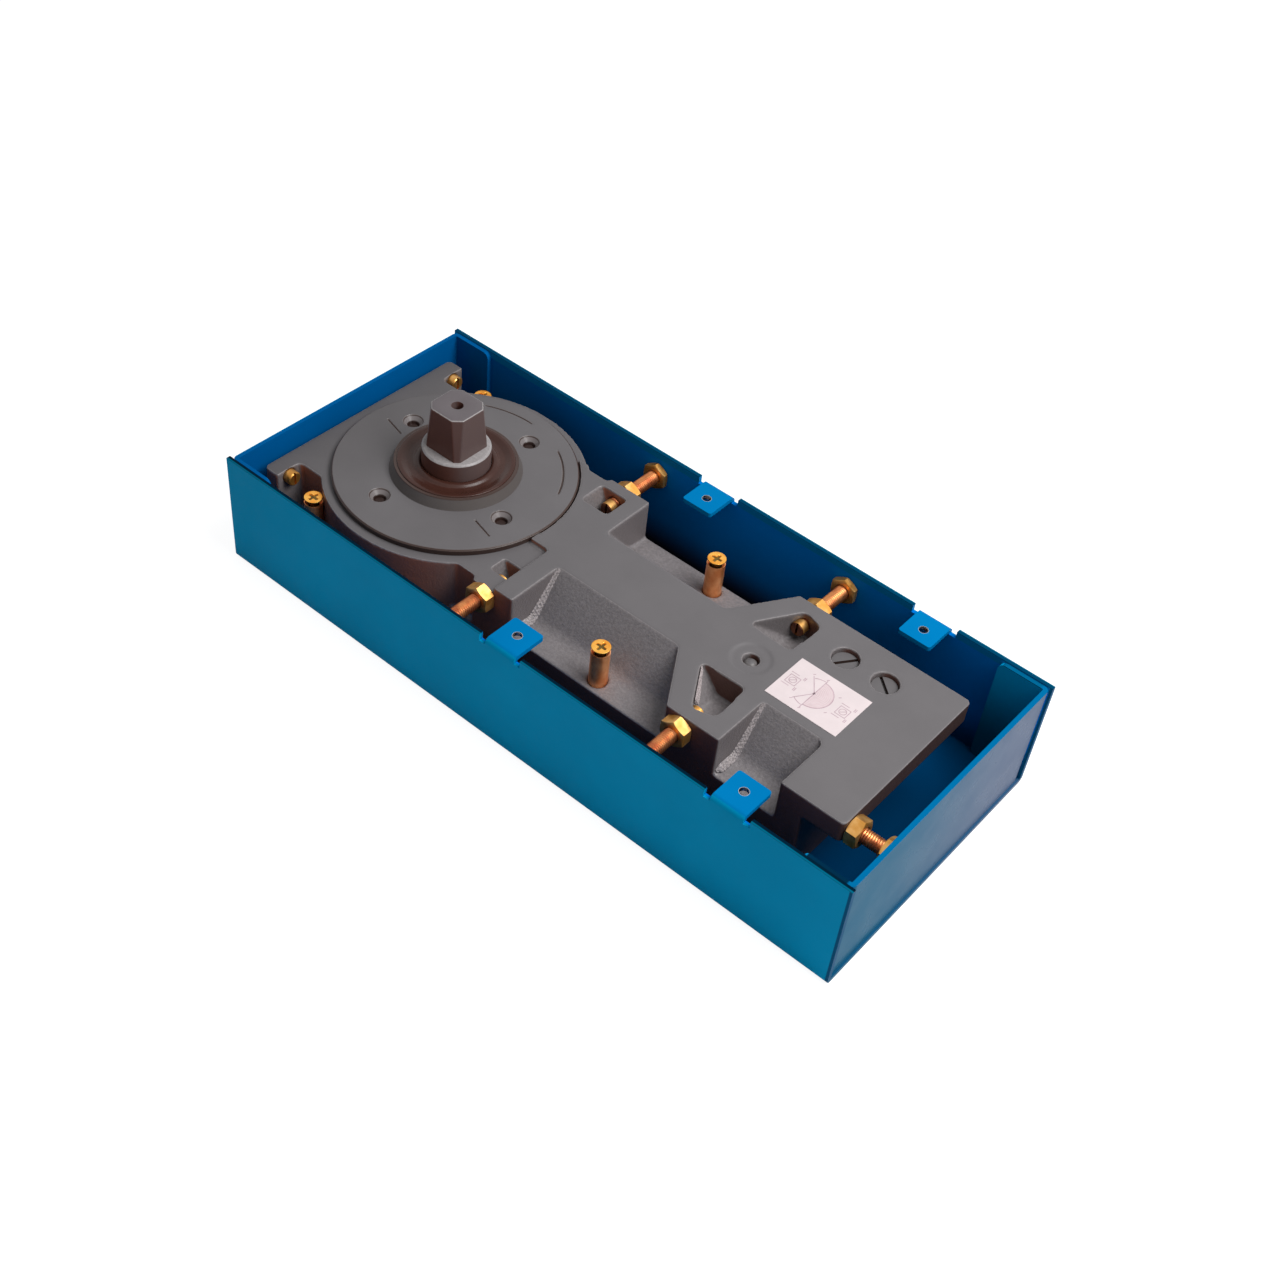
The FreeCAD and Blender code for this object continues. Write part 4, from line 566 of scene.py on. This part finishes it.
def moved(grid, place, axis=(0, 0, 1), across=(1, 0, 0)):
    """Carries a grid whose own axis is Z to this place, with Z along axis and X along across."""
    z = np.asarray(axis, float)
    x = np.asarray(across, float)
    return grid[..., :1] * x + grid[..., 1:2] * np.cross(z, x) + grid[..., 2:] * z + np.asarray(place, float)


# %% [markdown]
# The seal is a dished rubber ring on the cover's boss, with a raised lip that grips the
# spindle's collar. It is one closed profile turned round the spindle.

# %% The lip seal
SEAL_BOTTOM, BOSS_TOP = 49.5, 55.1
seal_profile = rounded([
    (14.85, SEAL_BOTTOM), (24.9, SEAL_BOTTOM), (24.9, BOSS_TOP + 0.5), (23.2, BOSS_TOP + 0.5),
    (20.6, BOSS_TOP - 0.55), (18.2, BOSS_TOP - 0.6), (17.2, BOSS_TOP + 0.25), (15.9, BOSS_TOP + 0.45),
    (14.85, BOSS_TOP - 0.1), (14.85, SEAL_BOTTOM),
], 0.45)
lip_seal = make_piece("lip_seal", [(turned(seal_profile, 120), False, True, 0)], [seal_rubber], "base")
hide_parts("spindle_seal")

# %% [markdown]
# The spindle's top is a square with cut corners that narrows upwards, so a door pivot can be
# pulled tight on it. Its outline is eight straight sides. Each corner becomes a short arc, and
# two more points lie close to the arc on the straight sides, so the sides stay flat to the eye.


# %% The spindle
def eight_sides(half, flat, radius=0.45, steps=3):
    """Closed outline: corners (half, short) turned about, short = flat * sqrt(2) - half, each one an arc."""
    short = flat * math.sqrt(2) - half
    corners = np.array([(half, -short), (half, short), (short, half), (-short, half),
                        (-half, short), (-half, -short), (-short, -half), (short, -half)])
    share = np.linspace(0.0, 1.0, steps + 1)[:, None]
    out = []
    for k, corner in enumerate(corners):
        before, after = corners[k - 1] - corner, corners[(k + 1) % 8] - corner
        before, after = before / np.linalg.norm(before), after / np.linalg.norm(after)
        start, end = corner + radius * before, corner + radius * after
        side = np.linspace(corner + 2 * radius * after, corners[(k + 1) % 8] - 2 * radius * after, 6)
        out += [corner + 2 * radius * before,
                (1 - share) ** 2 * start + 2 * share * (1 - share) * corner + share ** 2 * end, side[:-1]]
    return np.vstack(out)


def spindle_grids():
    """Tapered top with a rounded rim and the threaded hole, above a turned collar, shaft and journal."""
    rows = []
    for z, inset in ((63.2, 0.0), (63.5, 0.0), (82.7, 0.0), (82.9, 0.0), (83.2, 0.08), (83.4, 0.25),
                     (83.5, 0.5)):
        share = min(max((z - 63.3) / 20.2, 0.0), 1.0)
        outline = eight_sides(9.9 - 0.6 * share - inset, 12.6 - 2.0 * share - inset)
        rows.append(np.column_stack([outline, np.full(len(outline), z)]))
    edge = rows[-1]
    turn = np.arctan2(edge[:, 1], edge[:, 0])
    for radius, z in ((7.6, 83.5), (3.0, 83.5), (2.6, 83.35), (2.5, 83.0), (2.5, 71.5), (0.0, 70.3)):
        rows.append(np.column_stack([radius * np.cos(turn), radius * np.sin(turn), np.full(len(turn), z)]))
    collar = turned(rounded([(8.0, 63.3), (13.9, 63.3), (14.7, 62.5), (14.7, 49.8), (11.0, 49.8),
                             (11.0, 12.0), (10.0, 12.0), (10.0, 8.4), (0.0, 8.4)], 0.25), 128)
    return [(np.stack(rows), False, True, 0), (collar, False, True, 0)]


spindle = make_piece("door_spindle", spindle_grids(), [spindle_grey], "spindle_body", 28.0)
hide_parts("spindle")

# %% [markdown]
# The round cover screws into the head. Seen from above it is a height for every point:
# a flat disc with a rounded rim, a low boss under the seal, four sunk holes for a pin
# spanner, two arcs and two index lines. The grid is polar, with its angles packed closer
# together where the holes and the lines are.


# %% The head cover
COVER_TOP, COVER_RADIUS, BOSS_BASE, BOSS_EDGE = 50.5, 52.2, 28.2, 26.2
SPANNER_ANGLES = np.radians(-15.0 + 90.0 * np.arange(4))


def cover_height(x, y):
    """Top of the cover: the boss added, then each hole, arc and line taken away."""
    radius, angle = np.hypot(x, y), np.degrees(np.arctan2(y, x))
    top = COVER_TOP + (BOSS_TOP - COVER_TOP) * np.clip((BOSS_BASE - radius) / (BOSS_BASE - BOSS_EDGE), 0, 1)
    top -= 0.55 * smooth(radius, COVER_RADIUS - 0.6, COVER_RADIUS)
    for turn in SPANNER_ANGLES:
        away = np.hypot(x - 36.5 * math.cos(turn), y - 36.5 * math.sin(turn))
        top -= 2.3 * np.clip((4.6 - away) / 2.1, 0, 1) + 1.1 * (1 - smooth(away, 2.1, 2.5))
    for start, end in ((24.0, 61.0), (88.0, 118.0)):
        arc = smooth(angle, start - 0.4, start + 0.4) * (1 - smooth(angle, end - 0.4, end + 0.4))
        top -= 0.5 * arc * (1 - smooth(np.abs(radius - 45.4), 0.15, 0.55))
    along = np.array([math.cos(math.radians(-15)), math.sin(math.radians(-15))])
    for start_x, start_y in ((-43.6, 2.3), (28.7, -18.3)):
        run = (x - start_x) * along[0] + (y - start_y) * along[1]
        side = np.abs(-(x - start_x) * along[1] + (y - start_y) * along[0])
        line = smooth(run, -0.2, 0.3) * (1 - smooth(run, 11.2, 11.7))
        top -= 0.5 * line * (1 - smooth(side, 0.15, 0.5))
    return top


def cover_grids():
    """Polar grid of the top, then the rim, the threaded skirt and the underside as a turned profile."""
    windows = [np.linspace(t - 0.13, t + 0.13, 76) for t in SPANNER_ANGLES]
    windows += [np.radians(np.arange(172, 187, 0.35)), np.radians(np.arange(-37, -27, 0.35))]
    angle = np.unique(np.round(np.mod(np.concatenate([np.radians(np.arange(0, 360, 1.25))] + windows),
                                      2 * np.pi), 4))
    radius = np.concatenate([[24.95, BOSS_EDGE - 0.3, BOSS_EDGE, BOSS_EDGE + 0.3], np.linspace(26.9, 27.9, 3),
                             [BOSS_BASE, BOSS_BASE + 0.4], np.arange(29.0, 31.9, 0.5),
                             np.arange(32.0, 41.2, 0.24), np.arange(41.5, 44.7, 0.5),
                             np.arange(44.8, 46.1, 0.15), np.arange(46.5, 51.5, 0.8),
                             np.linspace(51.6, COVER_RADIUS, 6)])
    x, y = radius[:, None] * np.cos(angle), radius[:, None] * np.sin(angle)
    top = np.stack([x, y, cover_height(x, y)], axis=2)
    under = rounded([(COVER_RADIUS, 49.95), (COVER_RADIUS, 47.8), (49.7, 47.8), (49.7, 36.5), (11.4, 36.5),
                     (11.4, SEAL_BOTTOM - 0.2), (24.95, SEAL_BOTTOM - 0.2), (24.95, BOSS_TOP)], 0.15, 2)
    turns = np.stack([under[:, :1] * np.cos(angle), under[:, :1] * np.sin(angle),
                      np.repeat(under[:, 1:], len(angle), axis=1)], axis=2)
    return [(top, False, True, 0), (turns, False, True, 0)]


head_cover = make_piece("round_cover", cover_grids(), [cover_grey], "base", 35.0)
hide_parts("head_cover")

# %% [markdown]
# A screw thread is one formula: the radius falls and rises once for every pitch along the
# axis, and once round the axis shifts it by a whole pitch. A slotted end is a disc drawn in
# chords: the rows run along the slot, so the slot's walls fall exactly between two rows.


# %% Threads, slots and nuts
def thread(radius, depth, pitch, start, end, around=40):
    """Radius less depth times a triangle wave of height over pitch less angle over a turn."""
    rows = np.linspace(start, end, max(8, int(6 * abs(end - start) / pitch)) + 1)
    angle = np.linspace(0.0, 2 * np.pi, around, endpoint=False)
    phase = np.mod(rows[:, None] / pitch - angle / (2 * np.pi), 1.0)
    fade = smooth(np.minimum(rows - start, end - rows), 0.0, pitch)[:, None]
    wide = radius - depth * fade * np.abs(2 * phase - 1)
    return np.stack([wide * np.cos(angle), wide * np.sin(angle),
                     np.repeat(rows[:, None], around, axis=1)], axis=2)


def slotted_disc(radius, slot, depth, chamfer, rows=9, columns=28):
    """Top at height 0 in chords along X; the rows at plus and minus half the slot drop by depth."""
    half = slot / 2
    lift = np.linspace(math.asin(half / radius), math.pi / 2, rows)
    edge = radius * np.sin(lift)
    y = np.concatenate([-edge[::-1], [-half, half], edge])
    down = np.concatenate([np.zeros(rows), [depth, depth], np.zeros(rows)])
    share = np.concatenate([[-1.0], np.sin(np.linspace(-np.pi / 2, np.pi / 2, columns)), [1.0]])
    rim = np.concatenate([[chamfer], np.zeros(columns), [chamfer]])
    inner = 1 - chamfer / radius
    chord = np.sqrt(np.maximum(radius ** 2 - y ** 2, 0))[:, None]
    scale = np.where(rim > 0, 1.0, inner)
    x = chord * share * scale
    across = np.repeat(y[:, None], len(share), axis=1) * scale
    return np.stack([x, across, -down[:, None] - rim[None, :] * (down[:, None] == 0)], axis=2)


def hexagon_nut(across_flats, length, bore):
    """Ring whose outer radius is half the flats over the cosine to the nearest flat, with coned ends."""
    angle = np.linspace(0.0, 2 * np.pi, 120, endpoint=False)
    flat = np.mod(angle, np.pi / 3) - np.pi / 6
    outer = across_flats / 2 / np.cos(flat)
    drop = (outer - 0.94 * across_flats / 2) * math.tan(math.radians(28))
    face = 0.94 * across_flats / 2
    ring = [(bore, 0.5, 0), (bore + 0.4, 0, 0), (face, 0, 0), (None, 0, 1), (None, length, -1),
            (face, length, 0), (bore + 0.4, length, 0), (bore, length - 0.5, 0), (bore, 0.5, 0)]
    rows = []
    for radius, height, sense in ring:
        wide = outer if radius is None else np.full_like(angle, radius)
        rows.append(np.stack([wide * np.cos(angle), wide * np.sin(angle), height + sense * drop], axis=1))
    return np.stack(rows)


# %% [markdown]
# Seven adjusting screws push on the walls and hold the closer in place. Each has a slotted
# tip and a copper-toned threaded shank. Five have a straw-coloured hexagon head against the
# wall, and the two at the spindle end are headless. Hexagon lock nuts sit where the five leave
# the casting. One mesh holds all the nuts, as the node it stands for does. The right screw's tip
# is 1.2 mm shorter than the solid's, because at its limit it met the rebuilt casting, though the
# solids themselves don't meet there.

# %% The adjusting screws and lock nuts
SCREW_HEIGHT, SCREW_RADIUS, ACROSS_FLATS, HEAD_LENGTH, NUT_LENGTH = 44.0, 3.2, 11.0, 3.2, 5.5
SIDE_SCREWS, END_SCREW_Y, RIGHT_SCREW_Y = (("lug", 57.5), ("shoulder", 158.5)), 48.5, -36.0
SLACK = 0.02  # the scene's screws are this much thinner than the solids, to stay inside them


def adjusting_screw(name, node, tip, end, head_length):
    """Slotted tip and thread up to the head, then a hexagon closed by a disc; no head if its length is 0."""
    tip, end = np.asarray(tip, float), np.asarray(end, float)
    length = np.linalg.norm(end - tip)
    axis, upright = (end - tip) / length, (0, 0, 1)
    thin = SCREW_RADIUS - SLACK
    shank = thread(thin, 0.3, 1.0, 4.0, length - head_length)
    nose = turned([(thin, 0.4), (thin, 4.0)], 40)
    grids = [(moved(shank, tip, axis, upright), False, True, 0),
             (moved(nose, tip, axis, upright), False, True, 1),
             (moved(slotted_disc(thin, 1.2, 1.5, 0.4), tip, -axis, upright), False, False, 2)]
    base = turned([(SCREW_RADIUS if head_length else thin, length), (0.0, length)], 40)
    if head_length:
        head = hexagon_nut(ACROSS_FLATS - SLACK, head_length, SCREW_RADIUS)
        grids.append((moved(head, end - head_length * axis, axis, upright), False, True, 1))
    grids.append((moved(base, tip, axis, upright), False, True, 1))
    # Headed screws get the dark finish on the tip face, a painted shade.
    piece = make_piece(name, grids, [copper_zinc, straw_zinc, shaded_tip_zinc if head_length else straw_zinc],
                       node + "_body", 30.0)
    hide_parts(node)


for side, sign in (("front", -1), ("back", 1)):
    for place, x in SIDE_SCREWS:
        adjusting_screw(f"{place}_screw_{side}", f"side_screw_{place}_{side}",
                        (x, 31.2 * sign, SCREW_HEIGHT), (x, 65.7 * sign, SCREW_HEIGHT), HEAD_LENGTH)
    adjusting_screw(f"end_screw_of_{side}", f"end_screw_{side}", (-46.5, END_SCREW_Y * sign, SCREW_HEIGHT),
                    (-57.9, END_SCREW_Y * sign, SCREW_HEIGHT), 0.0)
adjusting_screw("end_screw_of_right", "end_screw_right", (219.2, RIGHT_SCREW_Y, SCREW_HEIGHT),
                (250.7, RIGHT_SCREW_Y, SCREW_HEIGHT), HEAD_LENGTH)

nut = hexagon_nut(ACROSS_FLATS, NUT_LENGTH, SCREW_RADIUS + 0.05)
seats = [((x, 42.3 * sign, SCREW_HEIGHT), (0, sign, 0)) for _, x in SIDE_SCREWS for sign in (-1, 1)]
seats.append(((233.2, RIGHT_SCREW_Y, SCREW_HEIGHT), (1, 0, 0)))
nut_grids = [(moved(nut, place, axis, (0, 0, 1)), False, True, 0) for place, axis in seats]
nuts = make_piece("lock_nuts", nut_grids, [straw_zinc], "base", 25.0)
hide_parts("screw_lock_nuts")

# %% [markdown]
# Four sleeves stand on the box floor and carry the closer's weight. Their thread is finer
# than a pixel, so they are plain tubes here. A countersunk cross-head screw goes down each
# one. The cross is a height again: two arms that deepen towards the middle, on a polar grid.


# %% The height sleeves and their clamp screws
def cross_disc(radius):
    """Polar grid of a flat disc less the deeper of two arms, each tapering from the middle to its end."""
    angle = np.linspace(0.0, 2 * np.pi, 120, endpoint=False)
    r = np.concatenate([np.linspace(0.0, 2.6, 22), np.linspace(2.9, radius, 4)])
    x, y = r[:, None] * np.cos(angle), r[:, None] * np.sin(angle)
    arms = [(1 - smooth(np.abs(a), 0.35, 0.75)) * (1 - smooth(np.abs(b), 1.9, 2.5))
            for a, b in ((x, y), (y, x))]
    return np.stack([x, y, -1.4 * np.maximum(*arms)], axis=2)


SLEEVES = {"corner": (-33.0, 50.7, 44.0), "middle": (113.2, 36.0, 50.0)}
clamp_grids = []
for side, sign in (("front", -1), ("back", 1)):
    for name, (x, y, top) in SLEEVES.items():
        rim = top - 2.55
        inside = turned([(3.6, rim), (2.45, rim - 1.2), (2.45, 2.4), (3.75, 2.4)], 64)
        shell = np.concatenate([turned([(3.75, 2.4), (3.92, 2.6), (3.92, rim)], 64), inside])
        shell = moved(shell, (x, y * sign, 0))
        piece = make_piece(f"{name}_sleeve_{side}", [(shell, False, True, 0)], [sleeve_zinc],
                           f"height_sleeve_{name}_{side}_body", 40.0)
        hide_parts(f"height_sleeve_{name}_{side}")
        # The cone under each head and a disc at the floor of the cross take the dark finish, a painted shade.
        cone = turned(rounded([(3.85, top), (4.0, top - 0.12), (3.95, top - 0.35), (1.95, top - 2.2),
                               (1.95, 0.6), (0.0, 0.6)], 0.08), 120)
        face = moved(cross_disc(3.85), (0, 0, top))
        pit = turned([(2.5, top - 0.5), (0.0, top - 0.5)], 40)
        clamp_grids += [(moved(g, (x, y * sign, 0)), False, True, k)
                        for g, k in ((face, 0), (cone, 1), (pit, 1))]
clamps = make_piece("clamp_screw_set", clamp_grids, [gold_zinc, shaded_cone_zinc], "base", 40.0)
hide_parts("clamp_screws")

# %% [markdown]
# Two speed valves lie just below the deck, each with a screwdriver slot. They are painted
# over with the body, so only their rim and slot show.

# %% The speed valves
VALVE_Y = 26.6
for name, x, turn in (("sweep", 184.8, 55.0), ("latch", 203.6, -40.0)):
    slot_way = (math.cos(math.radians(turn)), math.sin(math.radians(turn)), 0)
    face = moved(slotted_disc(5.6, 1.4, 1.6, 0.35, 11, 34), (x, VALVE_Y, 48.3), (0, 0, 1), slot_way)
    stem = turned(rounded([(5.6, 47.95), (5.6, 41.6), (3.2, 41.6), (3.2, 40.0), (1.9, 40.0), (1.9, 37.4),
                           (3.2, 37.4), (3.2, 33.0), (0.75, 29.8), (0.0, 29.8)], 0.2), 72)
    stem = moved(stem, (x, VALVE_Y, 0))
    valve = make_piece(f"{name}_valve_screw", [(face, False, False, 0), (stem, False, True, 0)], [plug_grey],
                       f"{name}_valve_body", 30.0)
    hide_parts(f"{name}_valve")

# %% [markdown]
# The main spring lies round the pull rod, out of sight. It is wound from square wire with both
# ends ground flat. In the closer its near end stays on the seat and its far end follows the piston,
# so the coils come closer together as the door opens; here it is built once, at the size of the
# frame's spring.

# %% The main spring
WIRE_WIDTH, WIRE_HEIGHT, SPRING_PITCH = 5.0, 5.6, 10.15


def coil_grid(low, high):
    """Eight-cornered section on a helix along X, held between the ground ends, with a cap at each end."""
    length, outer = high[0] - low[0], (high[1] - low[1]) / 2 - 0.05
    turns = length / SPRING_PITCH
    angle = np.linspace(0.0, 2 * np.pi * turns, int(60 * turns))[:, None]
    middle = WIRE_HEIGHT / 4 + (length - WIRE_HEIGHT / 2) * angle / angle[-1]
    half, cut = WIRE_HEIGHT / 2 - 0.02, 0.5
    section = np.array([(0, cut - half), (cut, -half), (WIRE_WIDTH - cut, -half), (WIRE_WIDTH, cut - half),
                        (WIRE_WIDTH, half - cut), (WIRE_WIDTH - cut, half), (cut, half), (0, half - cut)])
    radius = outer - WIRE_WIDTH + section[:, 0]
    x = low[0] + np.clip(middle + section[:, 1], 0.02, length - 0.02)
    grid = np.stack([x, radius * np.cos(angle), (low[2] + high[2]) / 2 + radius * np.sin(angle)], axis=2)
    caps = [np.repeat(end.mean(axis=0)[None, None, :], 8, axis=1) for end in (grid[0], grid[-1])]
    return np.concatenate([caps[0], grid, caps[1]])


spring_low, spring_high = (np.array(corner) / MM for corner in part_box("main_spring"))
coil = make_piece("square_wire_spring", [(coil_grid(spring_low, spring_high), False, True, 0)],
                  [spring_steel], None, 40.0)
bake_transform(coil)
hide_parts("main_spring")

# %% [markdown]
# The four tabs are tapped after painting, so their threads are bare. Each is a ring whose
# inside is a thread and whose outside is a plain tube.

# %% The tapped threads in the tabs
TAB_X, TAB_Y = (89.5, 199.5), (-58.0, 58.0)
tap = thread(1.95, 0.16, 0.8, 52.5, 54.38, 48)
tube = turned([(2.09, 54.38), (2.09, 52.5)], 48)
tapped = [(moved(np.concatenate([tap, tube]), (x, y, 0)), True, True, 0) for x in TAB_X for y in TAB_Y]
make_piece("tab_threads", tapped, [ground_steel], "base", 40.0)

# %% [markdown]
# The white label is a thin film with a plain diagram of how a door swings: a circle with
# its hatching, two leaves and two small dials. Each mark is a thin strip of ink, a few
# hundredths of a millimetre above the film.


# %% The label
LABEL_X, LABEL_Y, LABEL_TOP = (172.8, 206.0), (-10.2, 14.2), 50.7
LABEL_MIDDLE = (0.5 * sum(LABEL_X), 0.5 * sum(LABEL_Y))


def film_grid():
    """Rectangle whose outer rows and columns drop to the deck, so the film has rounded thin edges."""
    u = np.r_[0, 0, 0.002, 0.1, 0.3, 0.5, 0.7, 0.9, 0.998, 1, 1]
    x = LABEL_X[0] + u * (LABEL_X[1] - LABEL_X[0])
    y = LABEL_Y[0] + u * (LABEL_Y[1] - LABEL_Y[0])
    drop = np.r_[0.2, 0.06, 0, 0, 0, 0, 0, 0, 0, 0.06, 0.2]
    low = np.maximum(drop[:, None], drop[None, :])
    gx, gy = np.meshgrid(x, y, indexing="ij")
    return np.stack([gx, gy, LABEL_TOP - low], axis=2)


def stroke(points, width=0.30, lift=0.03):
    """Thin strip along a line of points: each point is pushed half a width to both sides."""
    p = np.asarray(points, float)
    along = np.gradient(p, axis=0)
    along /= np.linalg.norm(along, axis=1)[:, None]
    side = np.stack([-along[:, 1], along[:, 0]], axis=1) * width / 2
    strip = np.stack([p + side, p - side], axis=1)
    return np.concatenate([strip + np.array(LABEL_MIDDLE), np.full(strip.shape[:2] + (1,), LABEL_TOP + lift)],
                          axis=2)


def ring(x, y, radius, start=0.0, end=360.0, count=40):
    """Points on an arc about (x, y), its angles in degrees."""
    turn = np.radians(np.linspace(start, end, count))
    return np.stack([x + radius * np.cos(turn), y + radius * np.sin(turn)], axis=1)


def line(*corners):
    """Points along straight pieces between corners."""
    corners = np.asarray(corners, float)
    return [np.linspace(a, b, 3) for a, b in zip(corners[:-1], corners[1:])]


def diagram():
    """Strokes in mm from the label's middle: door line, swing arcs, two dials and their ticks."""
    strokes = line((-2, -9.6), (-2, 9.2)) + line((-7.6, 7.6), (-2, 0), (-7.0, -7.4))
    strokes += [ring(-2, 0, 7.6, -90, 90), ring(-2, 0, 8.2, 92, 124), ring(-2, 0, 8.2, 236, 268),
                ring(-2, 0, 0.45)]
    for x in (-12.2, 11.4):
        strokes += line((x - 2.3, -2.3), (x + 2.3, -2.3), (x + 2.3, 2.3), (x - 2.3, 2.3), (x - 2.3, -2.3))
        strokes += [ring(x, 0, 1.5)] + line((x - 0.9, -0.9), (x + 0.9, 0.9))
        strokes += line((x - 3.0, 3.6), (x + 0.6, 3.6)) + line((x - 3.0, -3.6), (x + 0.6, -3.6))
    for x, y in ((-9.2, 3.5), (-9.2, -3.5), (14.3, 3.8), (14.3, -3.4)):
        strokes += line((x, y - 0.9), (x, y + 0.9)) + line((x + 0.6, y - 0.9), (x + 0.6, y + 0.9))
    for x, y in ((-7.9, 8.4), (-2.2, 9.6), (-7.2, -8.0), (-1.9, -10.0), (6.4, 5.3), (6.8, -5.0)):
        strokes += line((x - 0.4, y - 0.4), (x + 0.4, y + 0.4))
    return strokes


label = make_piece("label_film", [(film_grid(), False, False, 0)], [label_film], "base")
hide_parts("instruction_label")
hatching = [ring(-2, 0, r, -88, 88) for r in np.arange(1.2, 7.4, 0.75)]
marks = [(stroke(h, 0.5, 0.02), False, False, 1) for h in hatching]
marks += [(stroke(d), False, False, 0) for d in diagram()]
make_piece("label_diagram", marks, [label_ink, label_tint], "base")

# %% [markdown]
# The studio is a white floor under a pale, even sky, with one broad lamp overhead and to the
# right. The sky is seen white by the camera and by reflections, and lights the object at a
# plain level.


# %% Floor, sky and lamps
FLOOR_REACH, FLOOR_HEIGHT, FLOOR_GLOW, WHITE_SHARE, SKY_LEVEL = 2500, -0.2, 1.3, 0.7, 0.28


def make_floor():
    """A flat square under the box; part of what the camera sees of it is plain white, so it stays pale."""
    points = np.array([(x, y, FLOOR_HEIGHT) for x in (-FLOOR_REACH, FLOOR_REACH)
                       for y in (-FLOOR_REACH, FLOOR_REACH)], float)
    mesh = bpy.data.meshes.new("studio_floor")
    mesh.from_pydata(points * MM, [], [(0, 2, 3, 1)])
    floor = bpy.data.objects.new("studio_floor", mesh)
    bpy.context.scene.collection.objects.link(floor)
    finish = bpy.data.materials.new("studio_floor")
    finish.use_nodes = True
    tree = finish.node_tree
    tree.nodes.clear()
    matt = tree.nodes.new("ShaderNodeBsdfDiffuse")
    matt.inputs["Color"].default_value = (0.92, 0.92, 0.92, 1)
    white = tree.nodes.new("ShaderNodeEmission")
    white.inputs["Color"].default_value = (1, 1, 1, 1)
    white.inputs["Strength"].default_value = FLOOR_GLOW
    mix = tree.nodes.new("ShaderNodeMixShader")
    tree.links.new(sums(tree, "MULTIPLY", seen_directly(tree), WHITE_SHARE), mix.inputs["Fac"])
    tree.links.new(matt.outputs[0], mix.inputs[1])
    tree.links.new(white.outputs[0], mix.inputs[2])
    output = tree.nodes.new("ShaderNodeOutputMaterial")
    tree.links.new(mix.outputs[0], output.inputs["Surface"])
    mesh.materials.append(finish)


def make_sky(level):
    """White where it is seen, and pale light of this level where it only lights."""
    sky = bpy.data.worlds.new("studio_sky")
    bpy.context.scene.world = sky
    sky.use_nodes = True
    tree = sky.node_tree
    tree.nodes.clear()
    light = tree.nodes.new("ShaderNodeBackground")
    light.inputs["Color"].default_value = (0.97, 0.98, 1.0, 1)
    light.inputs["Strength"].default_value = level
    white = tree.nodes.new("ShaderNodeBackground")
    white.inputs["Color"].default_value = (1, 1, 1, 1)
    white.inputs["Strength"].default_value = 1.0
    mix = tree.nodes.new("ShaderNodeMixShader")
    tree.links.new(seen_directly(tree), mix.inputs["Fac"])
    tree.links.new(light.outputs[0], mix.inputs[1])
    tree.links.new(white.outputs[0], mix.inputs[2])
    output = tree.nodes.new("ShaderNodeOutputWorld")
    tree.links.new(mix.outputs[0], output.inputs["Surface"])


def make_lamp(name, place, target, size, watts):
    """Square lamp at place in mm, facing target."""
    lamp = bpy.data.lights.new(name, "AREA")
    lamp.size = size * MM
    lamp.energy = watts
    holder = bpy.data.objects.new(name, lamp)
    holder.location = Vector(place) * MM
    holder.rotation_euler = (Vector(target) - Vector(place)).to_track_quat("-Z", "Y").to_euler()
    bpy.context.scene.collection.objects.link(holder)


make_floor()
make_sky(SKY_LEVEL)
make_lamp("overhead_lamp", (470, 200, 820), (120, 0, 30), 500, 7.0)
make_lamp("right_lamp", (900, 60, 900), (60, 0, 40), 500, 5.0)
